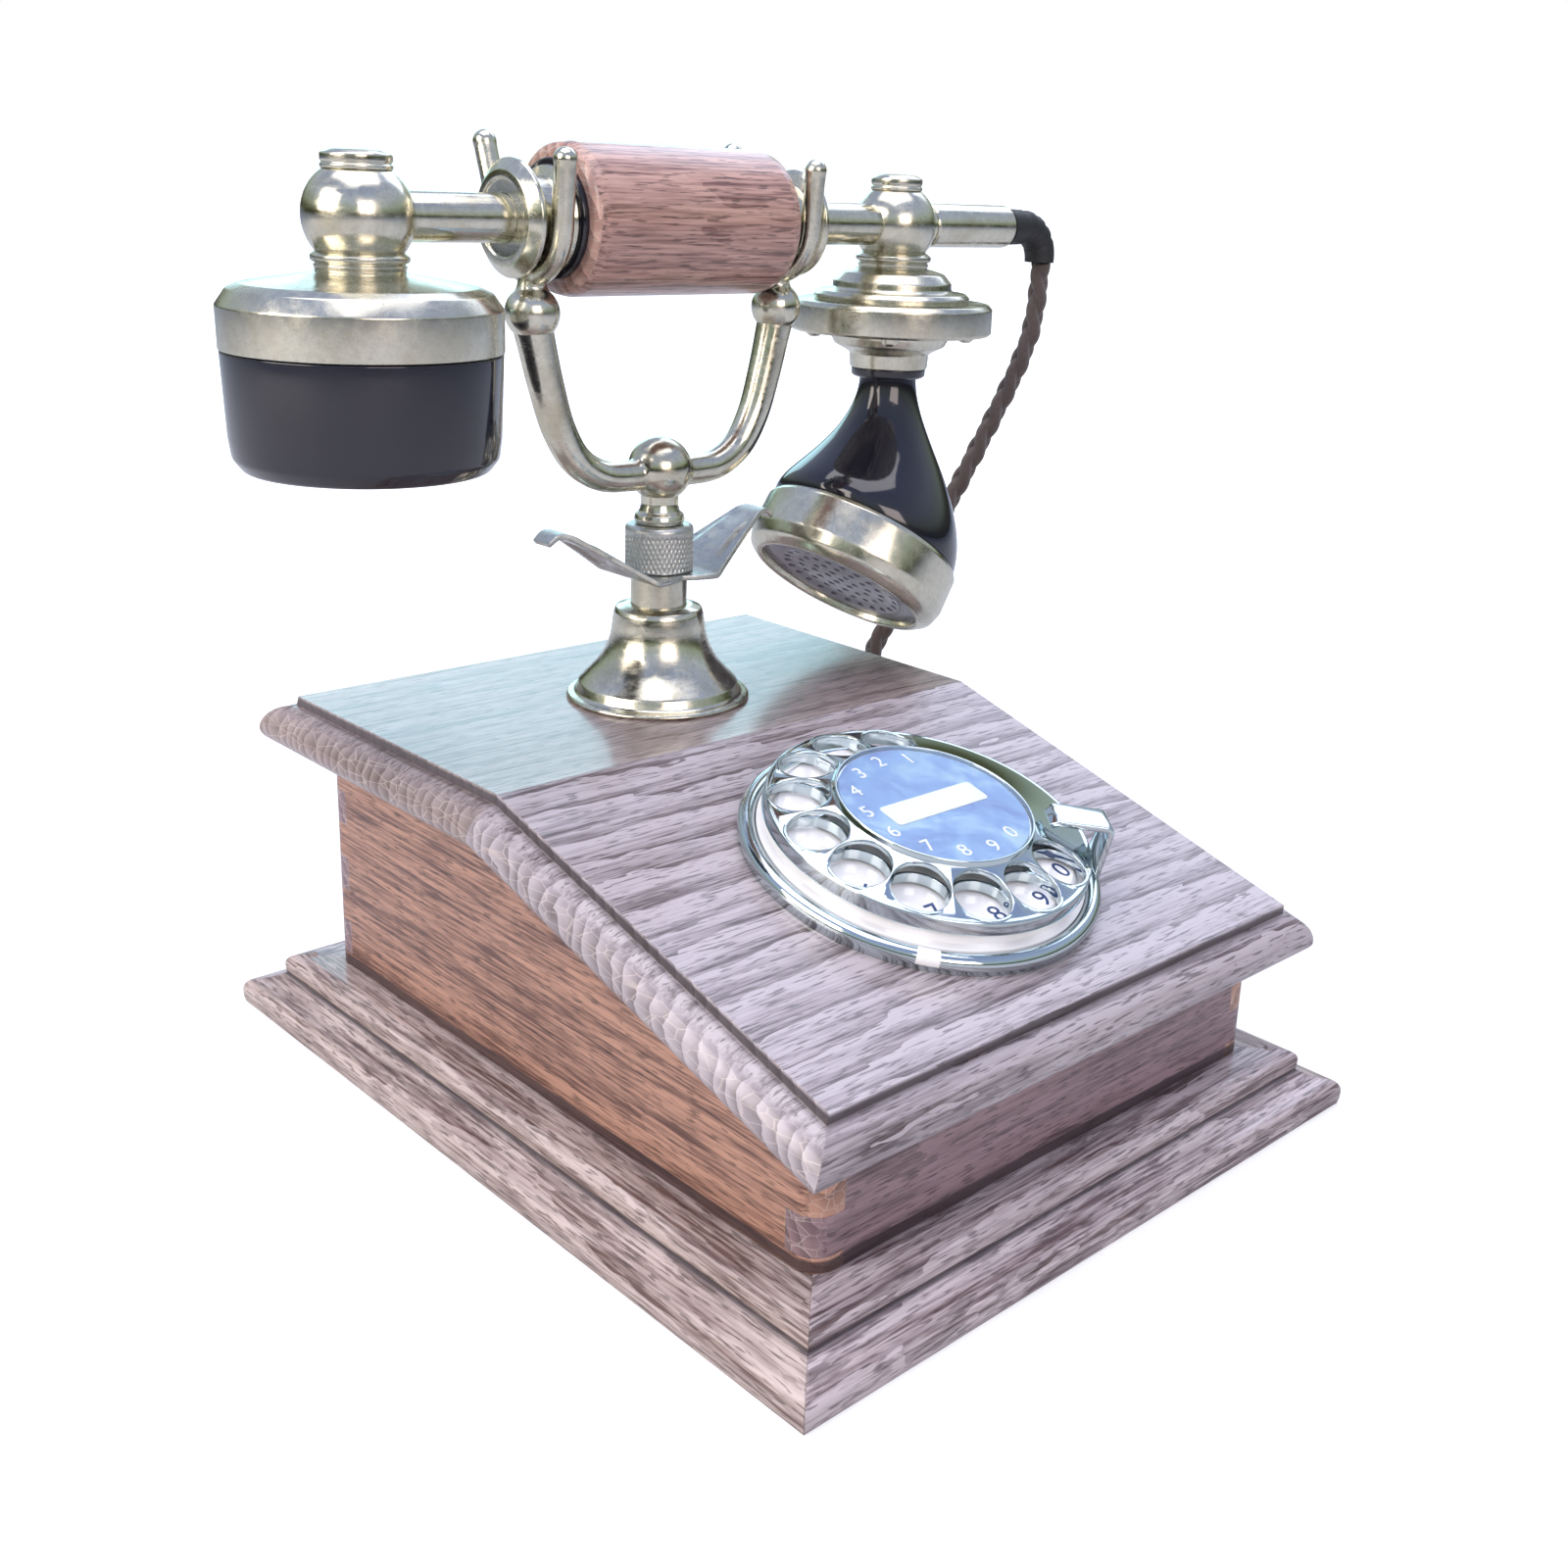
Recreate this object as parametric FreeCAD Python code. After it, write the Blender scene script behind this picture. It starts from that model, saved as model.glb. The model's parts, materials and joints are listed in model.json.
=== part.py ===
"""Rotary telephone with a wooden case, a column cradle and a horn handset.

Millimetres, +Z up, +X to the dial user's right, +Y to the back. The origin is the centre of the flat underside.
"""
import FreeCAD, Part
import math
import os

V = FreeCAD.Vector
X_AXIS, Y_AXIS, Z_AXIS = V(1, 0, 0), V(0, 1, 0), V(0, 0, 1)

# Case
CASE_HALF_X = 72.3
CASE_HALF_Y = 91.8
CASE_CORNER_R = 5.5
BOARD_T = 8.0
BASE_T = 8.8
PIN_H = 8.9
PLINTH_REACH = 18.1
PLINTH_TOP = 15.0

# Lid: a flat board at the back and a sloped one in front, mitred at the ridge
LID_TOP = 83.5
LID_T = 12.0
LID_FIELD_HALF_X = 74.6
LID_BACK_Y = 101.4
RIDGE_Y = 10.4
SLOPE_LENGTH = 111.5
SLOPE_DEG = 15.68
LID_STEP = 2.4
LID_NOSE = 7.4

# Dial, on the sloped board
DIAL_X = 0.5
DIAL_DOWN = 58.3
BEZEL_R = 42.0
PLATE_R = 38.4
PLATE_TOP = 5.0
WHEEL_R = 38.0
WHEEL_RIM_TOP = 10.8
WHEEL_RISE = 3.8
LENS_R = 22.5
FINGER_HOLES = 10
FINGER_HOLE_R = 6.65
FINGER_PITCH_R = 30.3
FIRST_HOLE_DEG = 65.5
HOLE_STEP_DEG = 25.9
STOP_DEG = -36.0
SHAFT_R = 3.0
RUNNING_FIT = 0.06
GEAR_R = 15.0
PINION_R = 4.6
GEAR_GAP = 0.3

# Stand and cradle
STAND_Y = 49.8
COLUMN_R = 7.2
COLUMN_TOP = 129.0
STEM_R = 3.2
NECK_R = 4.7
BALL_Z = 142.8
BALL_R = 7.8
YOKE_ROD_R = 4.4
FORK_X = 37.5
FORK_BALL_Z = 182.0
FORK_BALL_R = 6.4
PRONG_R = 2.6
FRONT_TIP = (-13.6, 216.2)
REAR_TIP = (18.6, 219.4)
NUT_R = 8.7
WING_T = 1.5

# Handset, along X
HANDSET_Z = 203.0
TUBE_R = 5.4
GRIP_R = 17.5
GRIP_HALF = 31.0
GROOVE_R = 9.4
FLANGE_R = 13.2
RECEIVER_X = -80.5
TRANSMITTER_X = 80.2
RECEIVER_R = 29.9
DISC_R = 28.0
MOUTH_R = 29.4
MOUTH_TALL = 17.0
MOUTH_TILT = 35.5
MOUTH_ROLL = -3.0
MOUTH_CENTRE = (72.8, 49.4, 117.8)
THROAT_Z = 162.2
TUBE_END_X = 92.0
TAIL_END_X = 125.7

# Handset cord: from the tail of the handset down behind the case to a coil, and back to a gland in the case
CORD_R = 3.75
GROMMET_BEND_R = 9.0
CORD_EXIT = (143.0, STAND_Y, 193.0)
CORD_DROP = [
    CORD_EXIT, (143.0, 49.8, 177.0), (139.5, 53.0, 161.0), (132.0, 57.0, 143.0), (123.0, 60.5, 124.0),
    (112.5, 64.5, 104.0), (104.5, 70.0, 82.0), (102.0, 78.5, 60.0), (102.0, 88.0, 38.0), (101.0, 98.0, 20.0),
    (97.5, 107.5, 10.5), (90.0, 115.0, 5.8), (79.0, 119.5, 3.9), (64.0, 120.5, 3.9), (46.0, 119.0, 3.9),
    (25.0, 118.0, 3.9),
]
CORD_RETURN = [
    (66.0, 163.0, 10.6), (65.0, 143.0, 12.6), (56.0, 124.0, 20.0), (48.0, 110.0, 25.6), (46.4, 99.0, 26.5),
]
COIL_CENTRE = (25.0, 163.0)
COIL_INNER_R = 33.0
COIL_OUTER_R = 49.0
COIL_HEIGHT = 14.5
GLAND_LENGTH = 7.0


# ---------------------------------------------------------------- helpers

def turned(start, *steps):
    """Solid of revolution about Z: each step is (r, z), or ((r, z) on the arc, (r, z) at its end)."""
    edges, at = [], V(start[0], 0, start[1])
    first = at
    for step in steps:
        if isinstance(step[0], tuple):
            middle, end = (V(r, 0, z) for r, z in step)
            edges.append(Part.Arc(at, middle, end).toShape())
        else:
            end = V(step[0], 0, step[1])
            edges.append(Part.makeLine(at, end))
        at = end
    if (at - first).Length > 1e-6:
        edges.append(Part.makeLine(at, first))
    return Part.Face(Part.Wire(edges)).revolve(V(), Z_AXIS, 360)


def disc(r, z0, z1, x=0.0, y=0.0):
    return Part.makeCylinder(r, z1 - z0, V(x, y, z0), Z_AXIS)


def ring(outer, inner, z0, z1, x=0.0, y=0.0):
    return disc(outer, z0, z1, x, y).cut(disc(inner, z0 - 1, z1 + 1, x, y))


def box(x0, x1, y0, y1, z0, z1):
    return Part.makeBox(x1 - x0, y1 - y0, z1 - z0, V(x0, y0, z0))


def moved(shape, x=0.0, y=0.0, z=0.0):
    result = shape.copy()
    result.translate(V(x, y, z))
    return result


def rotated(shape, angle, axis=Z_AXIS, about=V()):
    result = shape.copy()
    result.rotate(about, axis, angle)
    return result


def along_x(shape, x=0.0):
    """Turn a shape made along Z to lie along the handset's axis, with its z = 0 at x."""
    return moved(rotated(shape, 90, Y_AXIS), x, STAND_Y, HANDSET_Z)


def on_slope(shape, x=0.0, down=0.0):
    """Lay a shape made on the plane z = 0 on the sloped board, with its own -Y pointing down the slope."""
    return moved(rotated(moved(shape, x, -down), SLOPE_DEG, X_AXIS), 0, RIDGE_Y, LID_TOP)


def on_dial(shape):
    return on_slope(shape, DIAL_X, DIAL_DOWN)


def rounded_path(points):
    """Straight runs joined by tangent arcs, each as large as its runs allow; gives the wire and the radii."""
    points = [V(*p) for p in points]
    edges, radii, at = [], [], points[0]
    for before, corner, after in zip(points, points[1:], points[2:]):
        back, ahead = before - corner, after - corner
        reach = 0.45 * min(back.Length, ahead.Length)
        start = corner + V(back).normalize() * reach
        end = corner + V(ahead).normalize() * reach
        half_turn = (math.pi - back.getAngle(ahead)) / 2
        radius = reach / math.tan(half_turn)
        inward = V(back).normalize() + V(ahead).normalize()
        centre = corner + inward.normalize() * (radius / math.cos(half_turn))
        middle = centre + (corner - centre).normalize() * radius
        edges += [Part.LineSegment(at, start).toShape(), Part.Arc(start, middle, end).toShape()]
        radii.append(radius)
        at = end
    edges.append(Part.LineSegment(at, points[-1]).toShape())
    return Part.Wire(edges), radii


def rod(path, r, start, direction):
    profile = Part.Wire([Part.makeCircle(r, V(*start), V(*direction))])
    return path.makePipeShell([profile], True, False)


# ---------------------------------------------------------------- case

def stepped_block(half_x, y0, y1, outline):
    """A block with the same moulded outline on all four sides, mitred at its corners.

    The outline gives (reach, z) points and arcs from the bottom up, where reach is the distance out from the
    sides x = +-half_x, y = y0 and y = y1.
    """
    def profile(centre, half):
        def place(point, side):
            return (centre + side * (half + point[0]), point[1])
        edges = []
        for side in (1, -1):
            at = None
            for step in outline:
                ends = step if isinstance(step[0], tuple) else (step,)
                placed = [place(p, side) for p in ends]
                if at is not None and len(placed) == 2:
                    edges.append(("arc", at, placed[0], placed[1]))
                elif at is not None:
                    edges.append(("line", at, placed[0]))
                at = placed[-1]
        bottom, top = outline[0], outline[-1]
        edges.append(("line", place(bottom, 1), place(bottom, -1)))
        edges.append(("line", place(top, 1), place(top, -1)))
        return edges

    def face(edges, to_vector):
        shapes = []
        for kind, *pts in edges:
            pts = [to_vector(p) for p in pts]
            shapes.append(Part.makeLine(*pts) if kind == "line" else Part.Arc(*pts).toShape())
        return Part.Face(Part.Wire(Part.__sortEdges__(shapes)))

    depth = 2 * (abs(y0) + abs(y1) + 60)
    width = 2 * (half_x + 60)
    across = face(profile(0, half_x), lambda p: V(p[0], -depth / 2, p[1])).extrude(V(0, depth, 0))
    centre, half = (y0 + y1) / 2, (y1 - y0) / 2
    along = face(profile(centre, half), lambda p: V(-width / 2, p[0], p[1])).extrude(V(width, 0, 0))
    return across.common(along)


def plinth():
    """Skirting moulding round the foot of the case, in four lengths mitred at the corners."""
    k = PLINTH_REACH
    outline = [
        (k - 0.4, 0), ((k - 0.1, 1.3), (k, 3.0)), ((k - 0.4, 4.9), (k - 1.7, 6.3)),
        ((k - 5.0, 7.2), (k - 8.4, 8.8)), (k - 8.2, 11.5), ((k - 8.9, 13.1), (k - 10.4, 13.9)),
        (k - 14.0, PLINTH_TOP), (k - 14.6, PLINTH_TOP - 0.7), (-1.0, PLINTH_TOP - 0.7),
    ]
    ring_solid = stepped_block(CASE_HALF_X, -CASE_HALF_Y, CASE_HALF_Y, outline)
    ring_solid = ring_solid.cut(base_board()).cut(case_block(BASE_T, LID_TOP))
    near_x, near_y = CASE_HALF_X - 8.0, CASE_HALF_Y - 8.0
    far_x, far_y = CASE_HALF_X + 40.0, CASE_HALF_Y + 40.0
    pieces = {}
    for name, sx, sy in (("front", 1, -1), ("back", 1, 1), ("left", -1, 0), ("right", 1, 0)):
        if sy:
            corners = [(-near_x, sy * near_y), (near_x, sy * near_y), (far_x, sy * far_y), (-far_x, sy * far_y)]
        else:
            corners = [(sx * near_x, -near_y), (sx * near_x, near_y), (sx * far_x, far_y), (sx * far_x, -far_y)]
        wedge = Part.Face(Part.makePolygon([V(x, y, -1) for x, y in corners + corners[:1]]))
        pieces["plinth_" + name] = ring_solid.common(wedge.extrude(V(0, 0, 30)))
    return pieces


def under_lid(top=LID_TOP - LID_T):
    """Everything below the underside of the lid."""
    drop = LID_T
    tilt = math.radians(SLOPE_DEG)
    ridge_y = RIDGE_Y + drop * math.tan(tilt / 2)
    front_y = -140.0
    front_z = top - (ridge_y - front_y) * math.tan(tilt)
    outline = [(front_y, -1), (front_y, front_z), (ridge_y, top), (140, top), (140, -1)]
    face = Part.Face(Part.makePolygon([V(-100, y, z) for y, z in outline + outline[:1]]))
    return face.extrude(V(200, 0, 0))


def case_block(z0, z1):
    """The case as a solid block with its rounded upright corners."""
    block = box(-CASE_HALF_X, CASE_HALF_X, -CASE_HALF_Y, CASE_HALF_Y, z0, z1)
    vertical = [e for e in block.Edges if abs(e.tangentAt(e.FirstParameter).z) > 0.9]
    return block.makeFillet(CASE_CORNER_R, vertical)


def case_boards():
    """Four boards with box joints at the corners, standing on the base board."""
    outer = case_block(BASE_T, LID_TOP)
    inner = box(-CASE_HALF_X + BOARD_T, CASE_HALF_X - BOARD_T, -CASE_HALF_Y + BOARD_T, CASE_HALF_Y - BOARD_T,
                BASE_T - 1, LID_TOP + 1)
    shell = outer.cut(inner).common(under_lid())
    corners = []
    for level in range(8):
        z0 = BASE_T + level * PIN_H
        corners.append([box(sx * CASE_HALF_X - BOARD_T * (sx > 0), sx * CASE_HALF_X + BOARD_T * (sx < 0),
                            sy * CASE_HALF_Y - BOARD_T * (sy > 0), sy * CASE_HALF_Y + BOARD_T * (sy < 0),
                            z0, z0 + PIN_H) for sx in (-1, 1) for sy in (-1, 1)])
    side_pins = Part.makeCompound([b for row in corners[0::2] for b in row])
    end_pins = Part.makeCompound([b for row in corners[1::2] for b in row])
    big = 200.0
    boards = {}
    for name, sign in (("left", -1), ("right", 1)):
        x0 = sign * (CASE_HALF_X - BOARD_T)
        half = box(min(x0, sign * big), max(x0, sign * big), -big, big, 0, big)
        boards["case_%s_board" % name] = shell.common(half).cut(end_pins)
    for name, sign in (("front", -1), ("back", 1)):
        y0 = sign * (CASE_HALF_Y - BOARD_T)
        half = box(-big, big, min(y0, sign * big), max(y0, sign * big), 0, big)
        boards["case_%s_board" % name] = shell.common(half).cut(side_pins)
    back = boards["case_back_board"]
    for x, z, r in ((CORD_RETURN[-1][0], CORD_RETURN[-1][2], 5.0), (-40.0, 26.0, 4.0)):
        back = back.cut(Part.makeCylinder(r, 20, V(x, CASE_HALF_Y - 15, z), Y_AXIS))
    boards["case_back_board"] = back
    return boards


def base_screws():
    """Countersunk wood screws from the base board up into the edges of the four case boards."""
    screw = turned((0, 0), (3.6, 0), (1.75, 2.2), (1.75, 19.0), (0, 22.0))
    side, end = CASE_HALF_X - BOARD_T / 2, CASE_HALF_Y - BOARD_T / 2
    places = [(sx * side, y) for sx in (-1, 1) for y in (-55.0, 55.0)] + [(0.0, -end), (0.0, end)]
    return Part.makeCompound([moved(screw, x, y) for x, y in places])


def base_board(screws=None):
    board = box(-CASE_HALF_X, CASE_HALF_X, -CASE_HALF_Y, CASE_HALF_Y, 0, BASE_T)
    return board.cut(screws) if screws else board


def lid_outline():
    """Moulded edge of the lid: field, step down, quarter round and a small cove back to the underside."""
    nose_z = LID_TOP - LID_STEP - LID_NOSE + 0.9
    under = LID_NOSE - 3.6
    return [(under, LID_TOP - LID_T), ((LID_NOSE - 1.0, LID_TOP - LID_T + 1.0), (LID_NOSE, nose_z)),
            ((LID_NOSE - 2.3, LID_TOP - LID_STEP - 1.8), (0.4, LID_TOP - LID_STEP)), (0.0, LID_TOP)]


def lid_boards():
    """Two boards with one moulding round the whole lid, cut to a mitre at the ridge."""
    half_tilt = SLOPE_DEG / 2
    keep_back = moved(rotated(box(-120, 120, 0, 260, -60, 40), half_tilt, X_AXIS), 0, RIDGE_Y, LID_TOP)
    keep_front = moved(rotated(box(-120, 120, -260, 0, -60, 40), half_tilt, X_AXIS), 0, RIDGE_Y, LID_TOP)
    flat = stepped_block(LID_FIELD_HALF_X, RIDGE_Y - 60, LID_BACK_Y, lid_outline()).common(keep_back)
    sloped = stepped_block(LID_FIELD_HALF_X, RIDGE_Y - SLOPE_LENGTH, RIDGE_Y + 60, lid_outline())
    sloped = moved(rotated(moved(sloped, 0, -RIDGE_Y, -LID_TOP), SLOPE_DEG, X_AXIS), 0, RIDGE_Y, LID_TOP)
    sloped = sloped.common(keep_front)
    flat = flat.cut(disc(COLUMN_R, LID_TOP - 30, LID_TOP + 1, 0, STAND_Y))
    sloped = sloped.cut(on_dial(disc(BEZEL_R - 6, -30, 1)))
    return {"lid_top_board": flat, "lid_slope_board": sloped}


# ---------------------------------------------------------------- dial

def wheel_height(r):
    """Height of the underside of the dished finger wheel above the lid, at radius r."""
    share = (WHEEL_R - 1.2 - r) / (WHEEL_R - 1.2 - LENS_R)
    return WHEEL_RIM_TOP - 1.2 + WHEEL_RISE * min(max(share, 0.0), 1.0)


def finger_wheel():
    hub_z = wheel_height(LENS_R)
    plate = 1.2
    body = turned((SHAFT_R, hub_z), (LENS_R, hub_z), (WHEEL_R - 1.2, WHEEL_RIM_TOP - plate),
                  (WHEEL_R - 1.2, WHEEL_RIM_TOP - 3.0), (WHEEL_R, WHEEL_RIM_TOP - 3.0),
                  (WHEEL_R, WHEEL_RIM_TOP - 0.6), (WHEEL_R - 0.6, WHEEL_RIM_TOP), (WHEEL_R - 1.2, WHEEL_RIM_TOP),
                  (LENS_R, hub_z + plate), (SHAFT_R, hub_z + plate))
    for hole in range(FINGER_HOLES):
        angle = math.radians(FIRST_HOLE_DEG + hole * HOLE_STEP_DEG)
        x, y = FINGER_PITCH_R * math.cos(angle), FINGER_PITCH_R * math.sin(angle)
        body = body.cut(disc(FINGER_HOLE_R, 0, 30, x, y))
    return body


def dial():
    """Fixed and turning pieces of the dial, built on a flat board and then laid on the slope."""
    hub_z = wheel_height(LENS_R) + 1.2
    bore = SHAFT_R + RUNNING_FIT
    pieces = {
        "dial_bezel": turned((PLATE_R, 0), (BEZEL_R, 0), ((BEZEL_R - 0.3, 2.9), (BEZEL_R - 2.4, 4.6)),
                             ((PLATE_R + 0.5, 4.4), (PLATE_R, 3.6))),
        "number_plate": ring(PLATE_R, bore, 3.0, PLATE_TOP),
        "dial_housing": ring(BEZEL_R - 6, bore, 0, 3.0).fuse(
            ring(BEZEL_R - 6, BEZEL_R - 8, -20, 0)).fuse(ring(BEZEL_R - 6, bore, -22, -20)),
        "dial_shaft": disc(SHAFT_R, -23.5, hub_z),
        "finger_wheel": finger_wheel(),
        "number_card": disc(LENS_R - 1.5, hub_z, hub_z + 0.5),
        "dial_lens": turned((0, hub_z + 0.5), (LENS_R - 1.5, hub_z + 0.5), (LENS_R - 1.5, hub_z),
                            (LENS_R, hub_z), (LENS_R, hub_z + 0.9), (LENS_R - 0.6, hub_z + 1.5),
                            (0, hub_z + 1.9)),
        "drive_gear": toothed(GEAR_R, 36, 2.5, SHAFT_R, -12.0),
    }
    far = GEAR_R + PINION_R + GEAR_GAP
    pinion = toothed(PINION_R, 12, 2.5, 0, -12.0).fuse(disc(1.2, -21.5, -1.0)).fuse(ring(6.4, 1.0, -18, -15))
    pieces["governor_pinion"] = moved(pinion, -far, 0)
    pieces["dial_housing"] = pieces["dial_housing"].cut(disc(1.2 + RUNNING_FIT, -22.5, 3, -far, 0))
    pieces["finger_stop"] = finger_stop()
    return {name: on_dial(shape) for name, shape in pieces.items()}


def toothed(r, teeth, thickness, bore, z):
    """Spur gear with plain straight-sided teeth."""
    root, step = r - 1.3, 2 * math.pi / teeth
    points = []
    for tooth in range(teeth):
        for share, radius in ((-0.30, root), (-0.14, r), (0.14, r), (0.30, root)):
            angle = (tooth + share) * step
            points.append(V(radius * math.cos(angle), radius * math.sin(angle), z))
    gear = Part.Face(Part.makePolygon(points + points[:1])).extrude(V(0, 0, thickness))
    return gear.cut(disc(bore, z - 1, z + thickness + 1)) if bore else gear


def finger_stop():
    """Bent strip from outside the bezel up over the wheel, ending in a rounded tip over the finger circle."""
    top, strip, half = WHEEL_RIM_TOP + WHEEL_RISE + 2.6, 1.4, 4.2
    foot = BEZEL_R + 0.2
    side = [(foot, 0), (foot + 2.6, 0), (foot + 2.6, top - 1.5), (foot + 1.2, top), (27.5, top),
            (25.6, top - 1.2), (25.6, top - 2.4), (27.0, top - 2.4), (27.0, top - strip), (foot, top - strip)]
    strip_shape = Part.Face(Part.makePolygon([V(x, -half, z) for x, z in side + side[:1]]))
    strip_shape = strip_shape.extrude(V(0, 2 * half, 0))
    rounded = disc(half, -1, 30, 29.8, 0).fuse(box(29.8, 60, -half, half, -1, 30))
    return rotated(strip_shape.common(rounded), STOP_DEG)


# ---------------------------------------------------------------- stand

def stand():
    bore = STEM_R + RUNNING_FIT
    bell = turned((COLUMN_R, LID_TOP), (23.5, LID_TOP), ((24.0, LID_TOP + 0.6), (23.4, LID_TOP + 1.3)),
                  (22.0, LID_TOP + 1.6), ((15.0, LID_TOP + 8.6), (11.9, LID_TOP + 18.0)), (11.3, LID_TOP + 22.3),
                  ((10.6, LID_TOP + 23.8), (8.6, LID_TOP + 24.6)), (COLUMN_R, LID_TOP + 24.6))
    column = ring(COLUMN_R, bore, LID_TOP - 22, 115.6).fuse(ring(5.5, bore, 115.6, COLUMN_TOP))
    nut = turned((5.5, 117.1), (NUT_R - 0.4, 117.1), (NUT_R, 117.6), (NUT_R, 127.2),
                 ((NUT_R - 0.5, 128.5), (NUT_R - 1.7, COLUMN_TOP)), (5.5, COLUMN_TOP))
    pieces = {"stand_base": bell, "stand_column": column, "knurled_nut": nut}
    pieces = {name: moved(shape, 0, STAND_Y) for name, shape in pieces.items()}
    pieces["wing_plate"] = wing_plate()
    return pieces


def wing_plate():
    """Sheet plate clamped under the nut, with two tapered wings that rise to turned-down tips."""
    z = 115.6
    inner, outer, rise = 10.0, 30.4, 13.0
    side = [(0, 0), (inner, 0), (outer, rise), (outer + 2.5, rise + 0.6), (outer + 5.0, rise - 2.6)]
    length = [math.dist(a, b) for a, b in zip(side, side[1:])]
    lower = [V(x, 0, z + h) for x, h in side]
    upper = [V(x, 0, z + h + WING_T) for x, h in side]
    strip = Part.Face(Part.makePolygon(lower + upper[::-1] + lower[:1]))
    strip = moved(strip, 0, -20).extrude(V(0, 40, 0))
    plan = [(0, 9.0), (5.0, 12.0), (inner, 13.0), (outer, 4.2), (outer + sum(length[3:]) + 2, 3.4)]
    plan += [(x, -y) for x, y in plan[::-1]]
    outline = Part.Face(Part.makePolygon([V(x, y, z - 5) for x, y in plan + plan[:1]])).extrude(V(0, 0, 30))
    wing = strip.common(outline)
    whole = wing.fuse(wing.mirror(V(), X_AXIS)).cut(disc(5.5, z - 1, z + 5))
    return moved(whole, 0, STAND_Y).removeSplitter()


# ---------------------------------------------------------------- cradle

def cradle():
    """Stem that slides in the column, a U-shaped yoke with a ball at its middle, and two forks."""
    foot, seat = LID_TOP - 34, COLUMN_TOP + 0.05
    stem = turned((0, foot), (STEM_R, foot), (STEM_R, seat), (5.8, seat), ((6.4, 130.2), (6.0, 131.3)),
                  ((5.0, 132.6), (NECK_R, 134.4)), (NECK_R, BALL_Z), (0, BALL_Z))
    ball = Part.makeSphere(BALL_R, V(0, 0, BALL_Z))
    path, _ = rounded_path([(0, 0, BALL_Z - 1.0), (25.5, 0, BALL_Z - 0.8), (32.0, 0, 160.0),
                            (FORK_X, 0, FORK_BALL_Z)])
    arm = rod(path, YOKE_ROD_R, (0, 0, BALL_Z - 1.0), (1, 0, 0))
    fork_ball = Part.makeSphere(FORK_BALL_R, V(FORK_X, 0, FORK_BALL_Z))
    arm = arm.cut(fork_ball)
    yoke = ball.fuse(arm).fuse(arm.mirror(V(), X_AXIS))
    fork = fork_ball.fuse(prongs())
    forks = Part.makeCompound([fork, fork.mirror(V(), X_AXIS)])
    pieces = {"cradle_stem": stem.cut(ball), "cradle_yoke": yoke, "cradle_forks": forks}
    return {name: moved(shape, 0, STAND_Y) for name, shape in pieces.items()}


def prongs():
    """One rod from tip to tip, round the underside of the handset's groove, on a short neck."""
    clearance = 0.35
    r = GROOVE_R + PRONG_R + clearance

    def leaving(tip):
        """Where the rod leaves its arc round the groove for a straight run to the tip."""
        side, rise = math.copysign(1, tip[0]), tip[1] - HANDSET_Z
        turn = math.pi / 2 - (math.acos(r / math.hypot(tip[0], rise)) - math.atan2(rise, abs(tip[0])))
        return V(FORK_X, side * r * math.sin(turn), HANDSET_Z - r * math.cos(turn))

    front, rear = V(FORK_X, *FRONT_TIP), V(FORK_X, *REAR_TIP)
    bottom = V(FORK_X, 0, HANDSET_Z - r)
    path = Part.Wire([Part.LineSegment(front, leaving(FRONT_TIP)).toShape(),
                      Part.Arc(leaving(FRONT_TIP), bottom, leaving(REAR_TIP)).toShape(),
                      Part.LineSegment(leaving(REAR_TIP), rear).toShape()])
    bend = rod(path, PRONG_R, front, leaving(FRONT_TIP) - front)
    neck = moved(turned((0, 186.5), (3.9, 186.5), ((3.0, 188.2), (2.3, bottom.z)), (0, bottom.z)), FORK_X)
    return bend.fuse([Part.makeSphere(PRONG_R, front), Part.makeSphere(PRONG_R, rear), neck])


# ---------------------------------------------------------------- handset

def handle():
    """Tube, wooden grip, its end rings, the grooved collars that lie in the forks, and the tail."""
    length = TUBE_END_X - RECEIVER_X - 4
    tube = along_x(disc(TUBE_R, 0, length), RECEIVER_X + 4)
    soft = 3.0
    grip = turned((TUBE_R, -GRIP_HALF), (GRIP_R - soft, -GRIP_HALF),
                  ((GRIP_R - 0.9, -GRIP_HALF + 0.9), (GRIP_R, -GRIP_HALF + soft)), (GRIP_R, GRIP_HALF - soft),
                  ((GRIP_R - 0.9, GRIP_HALF - 0.9), (GRIP_R - soft, GRIP_HALF)), (TUBE_R, GRIP_HALF))
    end_ring = ring(13.6, TUBE_R, GRIP_HALF, GRIP_HALF + 1.6)
    start, groove = GRIP_HALF + 1.6, FORK_X - 2.9
    flange = FORK_X + 2.9
    spool = turned((TUBE_R, start), (12.2, start), (11.6, groove - 0.4), (GROOVE_R, groove), (GROOVE_R, flange),
                   (FLANGE_R - 1.2, flange + 0.9), (FLANGE_R, flange + 2.0), (FLANGE_R, flange + 2.8),
                   (FLANGE_R - 2.6, flange + 5.0), (FLANGE_R - 4.4, flange + 5.0),
                   (FLANGE_R - 4.8, flange + 4.4), (TUBE_R, flange + 4.4))
    tail = turned((0, TUBE_END_X), (5.9, TUBE_END_X), (5.9, TAIL_END_X - 1.6), (4.6, TAIL_END_X), (0, TAIL_END_X))
    pieces = {
        "handle_tube": tube,
        "handle_grip": along_x(grip),
        "grip_end_rings": Part.makeCompound([along_x(end_ring), along_x(rotated(end_ring, 180, X_AXIS))]),
        "fork_collars": Part.makeCompound([along_x(spool), along_x(rotated(spool, 180, X_AXIS))]),
        "handset_tail": along_x(tail),
        "cord_grommet": cord_grommet(),
    }
    return pieces


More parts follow.
